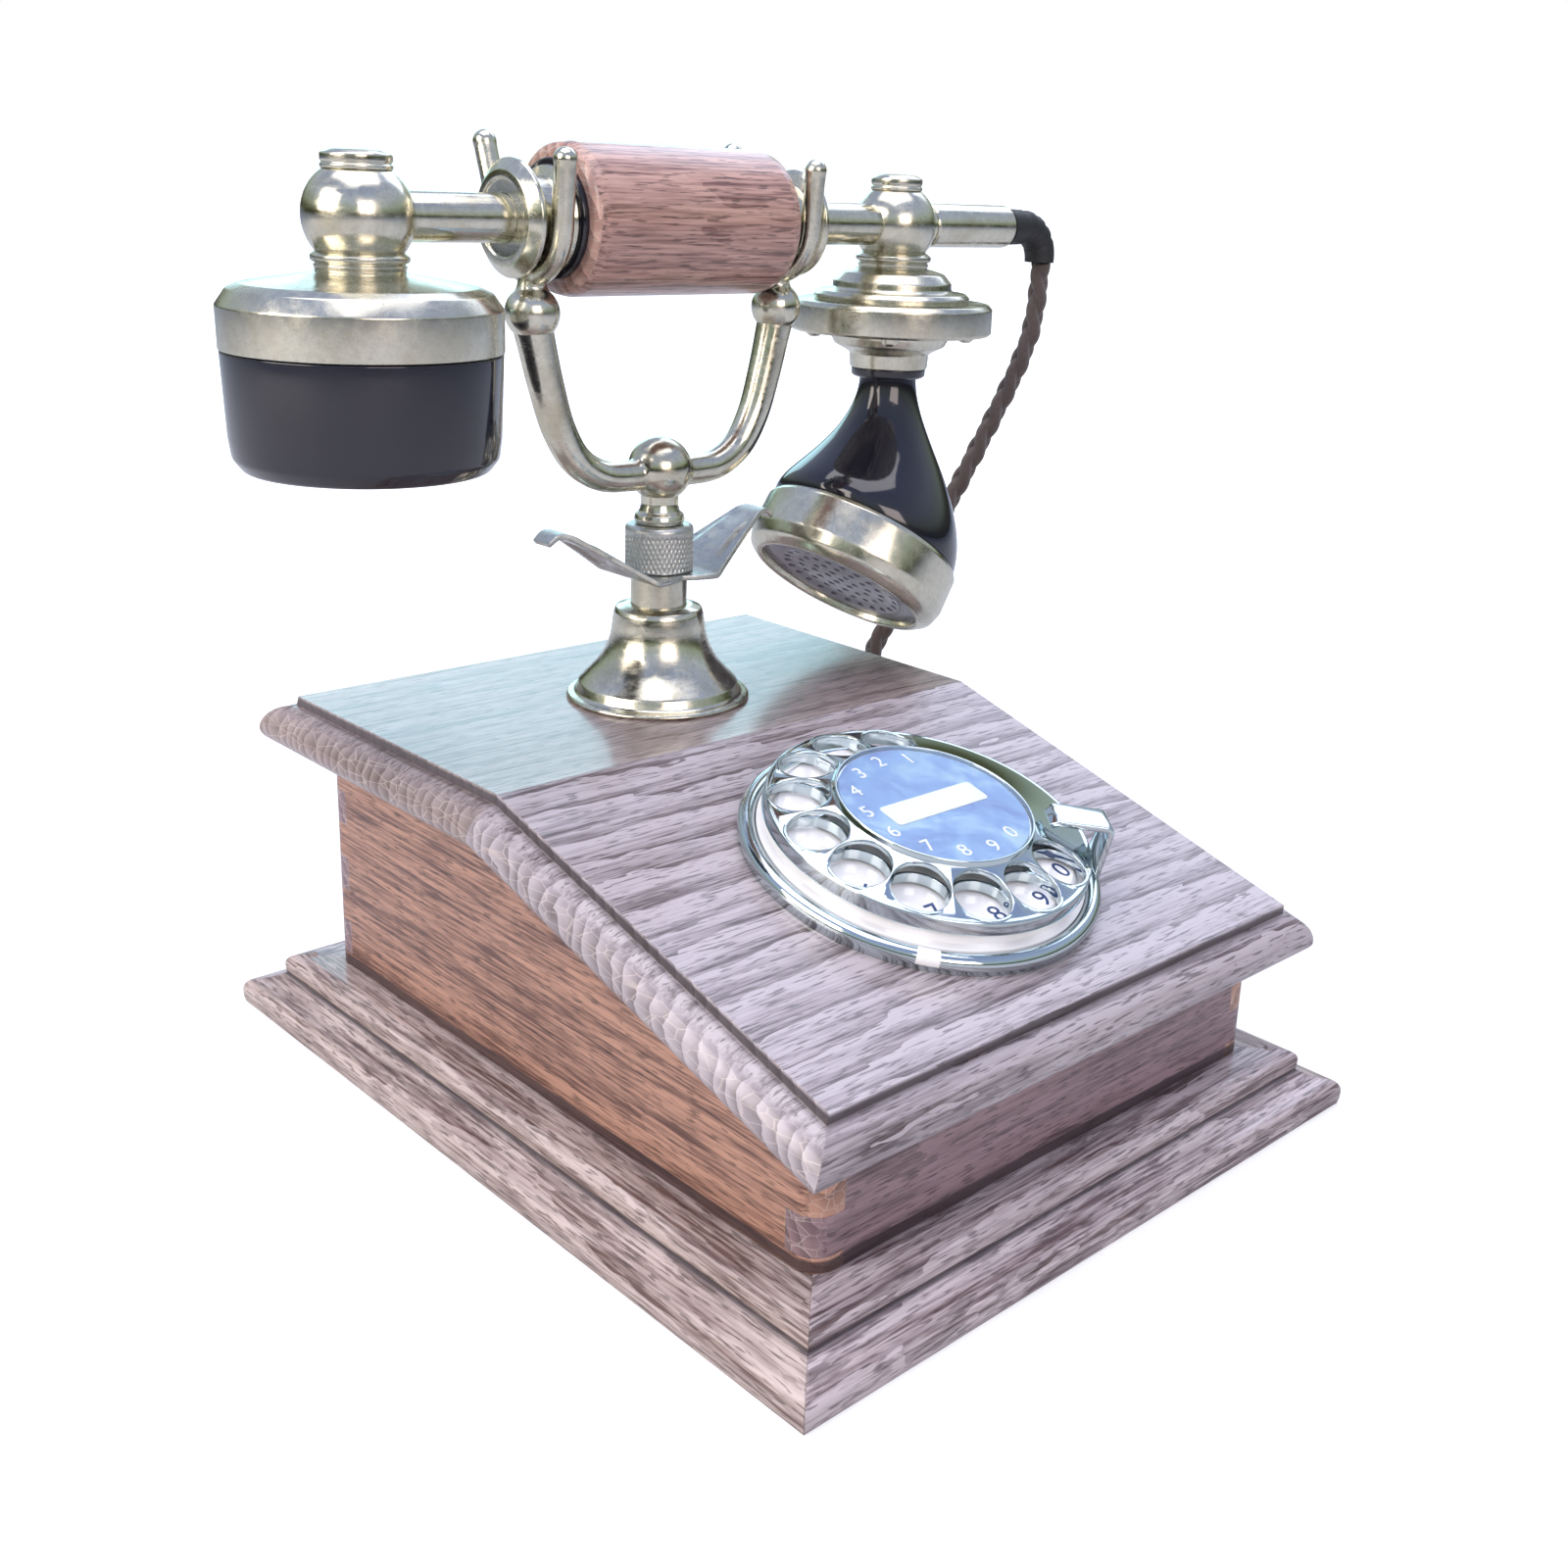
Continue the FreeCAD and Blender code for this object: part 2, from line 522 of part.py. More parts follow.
def cord_grommet():
    """Rubber sleeve that bends the cord from the tail's axis to straight down."""
    exit_x, exit_z = CORD_EXIT[0], CORD_EXIT[2]
    bend_x = exit_x - GROMMET_BEND_R
    start = V(TAIL_END_X, STAND_Y, HANDSET_Z)
    knee = V(bend_x, STAND_Y, HANDSET_Z)
    mid_angle = math.radians(45)
    middle = V(bend_x + GROMMET_BEND_R * math.sin(mid_angle), STAND_Y,
               HANDSET_Z - GROMMET_BEND_R * (1 - math.cos(mid_angle)))
    low = V(exit_x, STAND_Y, HANDSET_Z - GROMMET_BEND_R)
    path = Part.Wire([Part.LineSegment(start, knee).toShape(), Part.Arc(knee, middle, low).toShape(),
                      Part.LineSegment(low, V(exit_x, STAND_Y, exit_z)).toShape()])
    return rod(path, CORD_R + 0.75, start, (1, 0, 0))


def knuckle(x, r, cap_r, base_z):
    """Ball at one end of the tube, a cap on top of it, and a ring where it meets the head below."""
    tube = along_x(disc(TUBE_R, 0, TUBE_END_X - RECEIVER_X - 4), RECEIVER_X + 4)
    centre = V(x, STAND_Y, HANDSET_Z)
    cap_z = HANDSET_Z + r - 0.6
    cap = turned((0, cap_z), (cap_r - 0.3, cap_z), (cap_r, cap_z + 0.4), (cap_r, cap_z + 2.4),
                 ((cap_r - 0.5, cap_z + 3.3), (cap_r - 1.8, cap_z + 3.7)), (0, cap_z + 4.3))
    cap = moved(cap, x, STAND_Y)
    sphere = Part.makeSphere(r, centre)
    top_cut = box(x - 20, x + 20, STAND_Y - 20, STAND_Y + 20, cap_z, HANDSET_Z + 30)
    below = box(x - 20, x + 20, STAND_Y - 20, STAND_Y + 20, HANDSET_Z - 30, base_z)
    collar = turned((0, base_z), (9.6, base_z), (9.6, base_z + 1.4), (10.2, base_z + 1.8), (10.2, base_z + 3.6),
                    (9.4, base_z + 4.2), (0, base_z + 4.2))
    collar = moved(collar, x, STAND_Y).cut(sphere)
    return sphere.cut(tube).cut(top_cut).cut(below), cap, collar


def receiver():
    x = RECEIVER_X
    top, shoulder, seam, low = 191.5, 184.9, 175.2, 149.0
    cap_r = RECEIVER_R - 0.2
    housing = turned((0, top), (10.4, top), (24.6, 188.7), ((27.8, 187.4), (RECEIVER_R, shoulder)),
                     (RECEIVER_R, seam), (27.0, seam), (27.0, 184.0), (22.0, 186.2), (0, 186.2))
    shell = turned((0, low + 1.6), (15.0, low + 1.6), (20.0, low + 0.4), (24.2, low),
                   ((27.2, low + 1.3), (28.4, low + 4.2)), (cap_r, seam), (26.4, seam), (25.6, low + 5.0),
                   (0, low + 5.0))
    for turn in range(6):
        angle = math.radians(60 * turn)
        shell = shell.cut(disc(1.5, low - 1, low + 6, 8 * math.cos(angle), 8 * math.sin(angle)))
    shell = shell.cut(disc(1.5, low - 1, low + 6))
    capsule = ring(25.0, 0.5, low + 8.0, seam - 2.0)
    pieces = {"receiver_housing": housing, "receiver_cap": shell, "voice_capsules": capsule}
    return {name: moved(shape, x, STAND_Y) for name, shape in pieces.items()}


def transmitter():
    """Discs and cup under the right-hand ball, and the horn that hangs from them."""
    dome = turned((0, 182.8), (21.4, 182.8), (21.4, 184.6), (20.6, 185.4), (16.3, 185.6), (16.0, 188.2),
                  ((14.6, 190.2), (10.6, 191.4)), (0, 191.4))
    plate = turned((0, 174.5), (DISC_R - 0.6, 174.5), (DISC_R, 175.1), (DISC_R, 181.6), (DISC_R - 1.2, 182.8),
                   (0, 182.8))
    cup = turned((0, 164.8), (11.0, 164.8), (11.0, 168.6), ((14.6, 170.2), (16.6, 173.0)), (16.6, 174.5),
                 (0, 174.5))
    rivet = turned((0, 172.3), (1.6, 172.3), ((2.2, 172.8), (2.4, 174.5)), (0, 174.5))
    rivets = [rotated(moved(rivet, 21.0), 45 + 90 * turn) for turn in range(4)]
    pieces = {
        "transmitter_dome": dome,
        "transmitter_disc": plate.fuse(rivets),
        "transmitter_cup": cup,
        "horn_ring": ring(10.4, 0.5, 162.2, 164.8),
    }
    return {name: moved(shape, TRANSMITTER_X, STAND_Y) for name, shape in pieces.items()}


def mouth_frame(shape):
    """Place a shape made about Z at the mouth: its z = 0 is the rim of the bezel that meets the horn."""
    return moved(rotated(rotated(shape, MOUTH_TILT, Y_AXIS), MOUTH_ROLL, X_AXIS), *MOUTH_CENTRE)


def horn_section(share, wall):
    """One round section of the horn, from its throat (share 0) to its mouth (share 1)."""
    lean = share ** 1.2
    throat, mouth = V(TRANSMITTER_X, STAND_Y, THROAT_Z), V(*MOUTH_CENTRE)
    bend = V(TRANSMITTER_X, STAND_Y, 138.0)
    centre = throat * (1 - share) ** 2 + bend * (2 * share * (1 - share)) + mouth * share ** 2
    r = 7.9 + 20.2 * share ** 2 * (3 - 2 * share)
    section = rotated(rotated(Part.makeCircle(r - wall), MOUTH_TILT * lean, Y_AXIS), MOUTH_ROLL * lean, X_AXIS)
    return Part.Wire([moved(section, *centre)])


def horn():
    shares = [0.0, 0.2, 0.4, 0.6, 0.8, 1.0]
    rim_r = MOUTH_R - 1.3
    outer = Part.makeLoft([horn_section(s, 0.0) for s in shares], True)
    inner = Part.makeLoft([horn_section(s, 2.6) for s in shares[1:]], True)
    pieces = {"horn": outer.cut(inner)}
    tall = MOUTH_TALL
    bezel = turned((rim_r, 0), (rim_r + 0.4, 0.1), (MOUTH_R, -1.6), (MOUTH_R, -tall + 4.0),
                   ((MOUTH_R - 1.3, -tall + 1.2), (MOUTH_R - 4.2, -tall)), (MOUTH_R - 5.4, -tall),
                   (MOUTH_R - 6.0, -tall + 1.6), (MOUTH_R - 4.0, -tall + 3.0), (rim_r - 2.6, -0.4))
    grille = disc(MOUTH_R - 4.6, -tall + 3.2, -tall + 4.6)
    for row, count in ((4.5, 6), (9.0, 12), (13.5, 18)):
        for hole in range(count):
            angle = 2 * math.pi * hole / count
            grille = grille.cut(disc(0.75, -tall, 0, row * math.cos(angle), row * math.sin(angle)))
    capsule = ring(20.0, 0.5, -tall + 5.0, -3.0)
    pieces["mouth_bezel"] = mouth_frame(bezel)
    pieces["mouth_grille"] = mouth_frame(grille)
    pieces["voice_capsules"] = mouth_frame(capsule)
    return pieces


def handset():
    pieces = handle()
    left = knuckle(RECEIVER_X, 11.8, 7.4, 191.5)
    right = knuckle(TRANSMITTER_X, 11.2, 6.9, 191.4)
    pieces["receiver_ball"], pieces["transmitter_ball"] = left[0], right[0]
    pieces["ball_caps"] = Part.makeCompound([left[1], right[1]])
    pieces["ball_collars"] = Part.makeCompound([left[2], right[2]])
    capsules = []
    for group in (receiver, transmitter, horn):
        pieces.update(group())
        if "voice_capsules" in pieces:
            capsules.append(pieces.pop("voice_capsules"))
    pieces["voice_capsules"] = Part.makeCompound(capsules)
    return pieces


# ---------------------------------------------------------------- inside the case

GONG_X, GONG_Y, GONG_R = 26.0, 60.0, 20.0


def ringer():
    """Two gongs with a clapper between them, driven by a pair of coils on a frame."""
    gong = turned((1.6, 30.0), (9.0, 30.0), ((16.5, 27.5), (GONG_R, 19.0)), (GONG_R - 1.2, 19.0),
                  ((15.6, 26.4), (8.6, 28.8)), (1.6, 28.8))
    post = disc(1.6, 12.0, 32.0).fuse(disc(3.4, 24.0, 28.8)).fuse(disc(3.0, 30.0, 31.2))
    frame = box(-30, 30, 14, 66, BASE_T, 12.0).fuse(box(-13, 13, 14, 17, 12.0, 42.0))
    flanges = [Part.makeCylinder(9.5, 2, V(0, y, 30), Y_AXIS) for y in (17, 35)]
    coil = Part.makeCylinder(7.0, 20, V(0, 17, 30), Y_AXIS).fuse(flanges)
    pivot_y, pivot_z = 42.0, 22.0
    arm = box(-1.2, 1.2, pivot_y, 62.0, pivot_z - 1.2, pivot_z + 1.2)
    arm = arm.cut(disc(1.2, 10, 30, 0, pivot_y + 2))
    head = Part.makeSphere(3.4, V(0, 63.0, pivot_z))
    pin = disc(1.1, 12.0, 26.0, 0, pivot_y + 2)
    arm = box(-3, 3, pivot_y - 1, pivot_y + 5, pivot_z - 1.2, pivot_z + 1.2).fuse(arm).fuse(head)
    arm = arm.cut(disc(1.1 + RUNNING_FIT, 10, 30, 0, pivot_y + 2))
    return {
        "ringer_frame": frame.fuse(pin).fuse([moved(post, sx * GONG_X, GONG_Y) for sx in (-1, 1)]),
        "ringer_coils": moved(coil, -9.6).fuse(moved(coil, 9.6)),
        "gongs": Part.makeCompound([moved(gong, sx * GONG_X, GONG_Y) for sx in (-1, 1)]),
        "clapper": arm,
    }


def electrics():
    """Hook switch under the stem, network block, and the two fittings in the back board."""
    stem_low = LID_TOP - 34
    switch = box(-9, 9, 40, 46, 40.0, 60.0).fuse(box(-4, 4, 46, 60, stem_low - 5.0, stem_low - 4.2))
    network = box(-55, -20, -30, 5, BASE_T, 30.0)
    x, _, z = CORD_RETURN[-1]
    gland = Part.makeCylinder(5.0, 13, V(x, CASE_HALF_Y - BOARD_T - 5, z), Y_AXIS)
    gland = gland.fuse(Part.makeCylinder(7.5, GLAND_LENGTH, V(x, CASE_HALF_Y, z), Y_AXIS))
    inlet = Part.makeCylinder(4.0, 12, V(-40, CASE_HALF_Y - BOARD_T - 2, 26), Y_AXIS)
    inlet = inlet.fuse(Part.makeCylinder(6.5, 2.5, V(-40, CASE_HALF_Y, 26), Y_AXIS))
    inlet = inlet.cut(Part.makeCylinder(2.4, 40, V(-40, CASE_HALF_Y - 20, 26), Y_AXIS))
    return {"hook_switch": switch, "network_block": network, "cord_gland": gland, "line_inlet": inlet}


# ---------------------------------------------------------------- handset cord

def cord():
    """Tube down from the handset, the coil behind the case, and the tube from the coil to the gland."""
    r_in, r_out, height, soft = COIL_INNER_R, COIL_OUTER_R, COIL_HEIGHT, 3.0
    coil = turned((r_in + soft, 0), (r_out - soft, 0), ((r_out - 0.9, 0.9), (r_out, soft)),
                  (r_out, height - soft), ((r_out - 0.9, height - 0.9), (r_out - soft, height)),
                  (r_in + soft, height), ((r_in + 0.9, height - 0.9), (r_in, height - soft)),
                  (r_in, soft), ((r_in + 0.9, 0.9), (r_in + soft, 0)))
    coil = moved(coil, *COIL_CENTRE)
    pieces = {"handset_cord_coil": coil}
    for name, points in (("handset_cord_drop", CORD_DROP), ("handset_cord_return", CORD_RETURN)):
        path, radii = rounded_path(points)
        direction = V(*points[1]) - V(*points[0])
        tube = rod(path, CORD_R, points[0], direction)
        section = math.pi * CORD_R ** 2
        print(name, "length %.1f, radii" % path.Length, " ".join("%.0f" % r for r in radii),
              "volume %.0f of %.0f" % (tube.Volume, section * path.Length))
        pieces[name] = tube.cut(coil)
    return pieces


def main():
    pieces = {}
    screws = base_screws()
    pieces.update(plinth())
    pieces["base_board"] = base_board(screws)
    pieces["base_screws"] = screws
    boards = case_boards()
    for name in boards:
        boards[name] = boards[name].cut(screws)
    pieces.update(boards)
    for group in (lid_boards, dial, stand, cradle, handset, ringer, electrics, cord):
        pieces.update(group())
    pieces["handset_cord_return"] = pieces["handset_cord_return"].cut(pieces["cord_gland"])
    os.makedirs("parts", exist_ok=True)
    for name, shape in pieces.items():
        shape.exportStep("parts/%s.step" % name)
        if not shape.isValid() or shape.Volume <= 0:
            print("not valid:", name)
    print(len(pieces), "nodes")


main()
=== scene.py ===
"""Rotary telephone: the visual model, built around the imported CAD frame."""
import json
import math

import bmesh
import bpy
from mathutils import Matrix, Vector


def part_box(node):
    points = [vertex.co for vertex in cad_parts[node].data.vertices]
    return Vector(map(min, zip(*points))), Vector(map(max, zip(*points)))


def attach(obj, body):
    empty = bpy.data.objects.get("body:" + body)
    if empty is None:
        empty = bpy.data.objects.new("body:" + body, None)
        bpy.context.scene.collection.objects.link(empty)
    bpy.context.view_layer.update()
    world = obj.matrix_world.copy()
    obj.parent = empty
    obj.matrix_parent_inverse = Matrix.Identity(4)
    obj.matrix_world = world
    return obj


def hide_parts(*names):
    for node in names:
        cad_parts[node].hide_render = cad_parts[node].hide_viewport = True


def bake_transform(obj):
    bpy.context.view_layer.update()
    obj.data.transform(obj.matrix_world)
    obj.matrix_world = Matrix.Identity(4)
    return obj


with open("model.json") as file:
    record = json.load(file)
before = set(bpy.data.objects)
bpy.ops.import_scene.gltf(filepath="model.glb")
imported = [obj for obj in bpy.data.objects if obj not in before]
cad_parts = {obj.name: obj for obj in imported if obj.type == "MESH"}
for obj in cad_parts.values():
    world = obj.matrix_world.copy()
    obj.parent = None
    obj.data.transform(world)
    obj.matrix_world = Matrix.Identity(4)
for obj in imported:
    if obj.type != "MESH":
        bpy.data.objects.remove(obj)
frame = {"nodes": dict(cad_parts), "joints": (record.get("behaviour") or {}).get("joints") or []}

MM = 0.001
TAU = 2 * math.pi
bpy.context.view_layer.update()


# ---- places, from the frame

def middle(node):
    low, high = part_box(node)
    return (low + high) / 2


def top_of(node):
    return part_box(node)[1].z


def foot_of(node):
    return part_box(node)[0].z


def clamped(value):
    return min(max(value, 0.0), 1.0)


joints = {joint["name"]: joint for joint in frame["joints"]}
dial_spot = Vector(joints["dial_spin"]["pos_m"])
dial_normal = Vector(joints["dial_spin"]["axis"]).normalized()
slope_tilt = math.atan2(-dial_normal.y, dial_normal.z)
stand_spot = Vector((middle("stand_column").x, middle("stand_column").y, 0))
handset_z = middle("handle_tube").z
receiver_x = middle("receiver_housing").x
transmitter_x = middle("transmitter_disc").x
scale_mm = Matrix.Scale(MM, 4)
on_dial = Matrix.Translation(dial_spot) @ Matrix.Rotation(slope_tilt, 4, "X") @ scale_mm
on_stand = Matrix.Translation(stand_spot) @ scale_mm
along_handset = Matrix.Translation(
    (0, stand_spot.y, handset_z)
) @ Matrix.Rotation(math.pi / 2, 4, "Y") @ scale_mm
at_receiver = Matrix.Translation((receiver_x, stand_spot.y, 0)) @ scale_mm
at_transmitter = Matrix.Translation((transmitter_x, stand_spot.y, 0)) @ scale_mm


# ---- material nodes

class Nodes:
    """Short calls for the nodes of one tree."""

    def __init__(self, tree):
        self.tree = tree

    def node(self, kind, inputs=(), **settings):
        made = self.tree.nodes.new("ShaderNode" + kind)
        for key, value in settings.items():
            setattr(made, key, value)
        for key, value in dict(inputs).items():
            self.feed(made.inputs[key], value)
        return made

    def feed(self, socket, value):
        if isinstance(value, bpy.types.NodeSocket):
            self.tree.links.new(value, socket)
        else:
            socket.default_value = value

    def place(self, scale=(1, 1, 1), turn=(0, 0, 0), shift=(0, 0, 0)):
        coordinates = self.node("TexCoord").outputs["Object"]
        return self.node(
            "Mapping", {"Vector": coordinates, "Scale": scale, "Rotation": turn, "Location": shift}
        ).outputs[0]

    def noise(self, where, scale, detail=4.0, rough=0.55, warp=0.0):
        return self.node(
            "TexNoise",
            {"Vector": where, "Scale": scale, "Detail": detail, "Roughness": rough, "Distortion": warp},
        ).outputs["Fac"]

    def wave(self, where, scale, warp, detail, detail_scale, rough=0.5, **settings):
        return self.node("TexWave", {"Vector": where, "Scale": scale, "Distortion": warp, "Detail": detail,
                                     "Detail Scale": detail_scale, "Detail Roughness": rough},
                         **settings).outputs["Fac"]

    def ramp(self, value, *stops):
        made = self.node("ValToRGB", {"Fac": value})
        elements = made.color_ramp.elements
        while len(elements) < len(stops):
            elements.new(0.5)
        for element, (spot, colour) in zip(elements, stops):
            element.position = spot
            element.color = colour if len(colour) == 4 else (*colour, 1)
        return made.outputs["Color"]

    def steps(self, value, low, high, at_low=0.0, at_high=1.0):
        return self.node(
            "MapRange",
            {"Value": value, "From Min": low, "From Max": high, "To Min": at_low, "To Max": at_high},
        ).outputs["Result"]

    def mix(self, share, first, second, blend="MIX"):
        made = self.node("Mix", data_type="RGBA", blend_type=blend)
        for socket, value in ((made.inputs[0], share), (made.inputs[6], first), (made.inputs[7], second)):
            if isinstance(value, tuple) and len(value) == 3:
                value = (*value, 1)
            self.feed(socket, value)
        return made.outputs[2]

    def combine(self, operation, first, second):
        return self.node("Math", {0: first, 1: second}, operation=operation).outputs[0]

    def sum(self, first, second):
        return self.combine("ADD", first, second)

    def times(self, first, second):
        return self.combine("MULTIPLY", first, second)

    def soft_edges(self, radius):
        return self.node("Bevel", {"Radius": radius}, samples=6).outputs["Normal"]

    def edge_wear(self, radius):
        """1 on edges and corners within the radius, 0 on open faces."""
        flat = self.node("NewGeometry").outputs["Normal"]
        dot = self.node("VectorMath", {0: self.soft_edges(radius), 1: flat}, operation="DOT_PRODUCT")
        return self.steps(dot.outputs["Value"], 0.995, 0.80)

    def level(self, direction):
        """Distance along a direction in the model's own space."""
        place = self.node("TexCoord").outputs["Object"]
        return self.node(
            "VectorMath", {0: place, 1: tuple(direction)}, operation="DOT_PRODUCT"
        ).outputs["Value"]

    def facing(self, axis):
        """How squarely a face looks along X, Y or Z."""
        parts = self.node("SeparateXYZ", {0: self.node("NewGeometry").outputs["Normal"]})
        return self.node("Math", {0: parts.outputs[axis]}, operation="ABSOLUTE").outputs[0]

    def band(self, direction, low, high, soft):
        """1 between two levels along a direction, 0 outside them."""
        at = self.level(direction)
        return self.times(self.steps(at, low, low + soft), self.steps(at, high, high - soft))

    def camera_ray(self):
        return self.node("LightPath").outputs["Is Camera Ray"]


class Paint(Nodes):
    """A Principled material and what feeds its shader."""

    def __init__(self, name, **values):
        self.material = bpy.data.materials.new(name)
        self.material.use_nodes = True
        super().__init__(self.material.node_tree)
        self.shader = self.tree.nodes["Principled BSDF"]
        for key, value in values.items():
            self.shader.inputs[key.replace("_", " ")].default_value = value

    def set(self, key, value):
        self.feed(self.shader.inputs[key], value)

    def bump(self, height, strength, distance, normal=None):
        inputs = {"Height": height, "Strength": strength, "Distance": distance}
        if normal is not None:
            inputs["Normal"] = normal
        self.set("Normal", self.node("Bump", inputs).outputs["Normal"])


def wood(name, grain, pale, dark, seed=0.0, coat=0.5, rings=0.30, spacing=0.008, flecks=0.0, grime_and_shade=()):
    """Stained beech: streaks, growth rings and pores along the grain, rings and rays on the end grain.

    Each (direction, low, high) level in the list is darkened almost to black: painted shade in grooves and
    where the case meets the plinth, dirt and painted shade on the lid's steps.
    """
    paint = Paint(name, Coat_Weight=coat, Coat_Roughness=0.17, Coat_IOR=1.5, Specular_IOR_Level=0.4)

    def along(share):
        return paint.place(
            [share if axis == grain else 1.0 for axis in "XYZ"], shift=(seed, seed * 0.7, seed * 1.3)
        )

    open_at = paint.place(shift=(seed, seed, seed))
    across = "Y" if grain == "X" else "Z"
    fine = paint.steps(paint.noise(along(0.045), 1450, 2.0, 0.55), 0.37, 0.63)
    streaks = paint.steps(paint.noise(along(0.035), 560, 3.0, 0.6, 0.4), 0.36, 0.64)
    cloud = paint.noise(open_at, 24, 3.0)
    growth = paint.wave(
        along(0.22), 0.314 / spacing, 9.0, 4.0, 1.3, 0.62, bands_direction=across, wave_profile="SAW"
    )
    tone = paint.sum(paint.times(fine, 0.42 - rings * 0.3), paint.times(streaks, 0.34))
    tone = paint.sum(paint.sum(tone, paint.times(growth, rings)), paint.times(cloud, 0.25))
    middle_tone = tuple(a * 0.55 + b * 0.45 for a, b in zip(pale, dark))
    colour = paint.ramp(tone, (0.27, dark), (0.54, middle_tone), (0.84, pale))
    pores = paint.steps(paint.noise(along(0.10), 1750, 1.0, 0.5), 0.58, 0.66)
    ends = paint.steps(paint.facing(grain), 0.40, 0.70)
    pores = paint.times(pores, paint.steps(ends, 0.0, 1.0, 1.0, 0.15))
    colour = paint.mix(paint.times(pores, 0.60), colour, tuple(c * 0.35 for c in dark))
    end_rings = paint.wave(
        paint.place(turn=(0.55, 0.2, 0.3), shift=(seed, 0, 0)), 96.0, 7.0, 3.0, 1.0, bands_direction="Y",
        wave_profile="SAW",
    )
    cells = paint.node(
        "TexVoronoi", {"Vector": paint.place((1.0, 0.30, 1.0), turn=(0.35, 0.0, 0.0)), "Scale": 420.0},
        feature="DISTANCE_TO_EDGE",
    ).outputs["Distance"]
    end_tone = paint.sum(paint.times(end_rings, 0.45), paint.times(cloud, 0.75))
    end_colour = paint.ramp(
        end_tone, (0.15, tuple(c * 0.8 for c in dark)), (0.85, tuple(c * 1.05 for c in pale))
    )
    end_colour = paint.mix(paint.times(paint.steps(cells, 0.045, 0.0), 0.45), end_colour, (0.66, 0.56, 0.52))
    colour = paint.mix(ends, colour, end_colour)
    if flecks:
        worn = paint.steps(paint.noise(along(0.20), 330, 3.0, 0.6), 0.57, 0.62)
        colour = paint.mix(paint.times(worn, flecks), colour, tuple(c * 0.5 for c in dark))
    rub = paint.steps(paint.noise(open_at, 330, 4.0, 0.7), 0.48, 0.62)
    wear = paint.times(paint.edge_wear(0.0010), rub)
    colour = paint.mix(paint.times(wear, 0.5), colour, (0.55, 0.45, 0.42))
    # painted shade: each band darkens the wood almost to black where a groove or step is shaded
    for direction, low, high in grime_and_shade:
        colour = paint.mix(
            paint.times(paint.band(direction, low, high, 0.0005), 0.86), colour, (0.030, 0.018, 0.022)
        )
    paint.set("Base Color", colour)
    paint.set("Roughness", paint.steps(streaks, 0.0, 1.0, 0.36, 0.52))
    smooth_ends = paint.steps(ends, 0.0, 1.0, 0.4, 0.05)
    height = paint.sum(paint.times(pores, -0.8), paint.times(fine, smooth_ends))
    paint.bump(height, 0.30, 0.0002, paint.soft_edges(0.0006))
    return paint.material


def metal(name, colour, rough, tarnish=0.35, brushed=None, scratches=0.5, edge=0.0004, mottle=0.3):
    """Plated metal: uneven polish, brown tarnish in patches, mottling and fine scratches."""
    paint = Paint(name, Metallic=1.0)
    open_at = paint.place()
    patches = paint.steps(paint.noise(open_at, 75, 5.0, 0.65, 0.4), 0.46, 0.70)
    dark = tuple(c * k for c, k in zip(colour, (0.60, 0.52, 0.38)))
    mixed = paint.mix(paint.times(patches, tarnish), colour, dark)
    cloudy = paint.steps(paint.noise(open_at, 620, 4.0, 0.7), 0.40, 0.62)
    mixed = paint.mix(paint.times(cloudy, mottle), mixed, tuple(c * 0.62 for c in colour))
    specks = paint.steps(paint.noise(open_at, 1500, 2.0, 0.6), 0.64, 0.72)
    mixed = paint.mix(paint.times(specks, 0.5 * tarnish), mixed, (0.10, 0.07, 0.04))
    paint.set("Base Color", mixed)
    stretch = {"X": (0.02, 1, 1), "Y": (1, 0.02, 1), "Z": (1, 1, 0.02), "level": (1, 1, 14)}
    lines_at = paint.place(stretch.get(brushed, (0.25, 0.25, 1)))
    lines = paint.noise(lines_at, 2600 if brushed else 900, 3.0, 0.6)
    smear = paint.noise(open_at, 210, 3.0, 0.6)
    uneven = paint.sum(paint.times(lines, 0.5), paint.times(smear, 0.5))
    paint.set("Roughness", paint.steps(uneven, 0.38, 0.62, rough * 0.55, rough * 1.5))
    height = paint.sum(lines, paint.times(cloudy, 0.25))
    paint.bump(height, 0.07 * scratches, 0.0002, paint.soft_edges(edge))
    return paint.material


def gloss(name, colour, rough=0.12, scratches=0.3, specks=None, coat=0.4, edge=0.0004):
    """Polished moulding with hairline scratches, a little dust and, if asked, dark specks."""
    paint = Paint(name, Coat_Weight=coat, Coat_Roughness=0.04, IOR=1.5)
    open_at = paint.place()
    hair_at = paint.place((0.03, 0.5, 1), turn=(0.4, 0.9, 0.5))
    hair = paint.steps(paint.noise(hair_at, 1900, 1.0), 0.64, 0.70)
    cloud = paint.noise(open_at, 60, 4.0)
    light = tuple(min(1.0, c * 1.35 + 0.01) for c in colour)
    mixed = paint.mix(cloud, colour, light)
    if specks:
        spots = paint.steps(paint.noise(open_at, 520, 1.0), 0.70, 0.735)
        mixed = paint.mix(paint.times(spots, 0.85), mixed, specks)
    paint.set("Base Color", mixed)
    paint.set("Roughness", paint.steps(cloud, 0.3, 0.7, rough * 0.7, rough * 1.5))
    paint.bump(hair, 0.10 * scratches, 0.0001, paint.soft_edges(edge))
    return paint.material


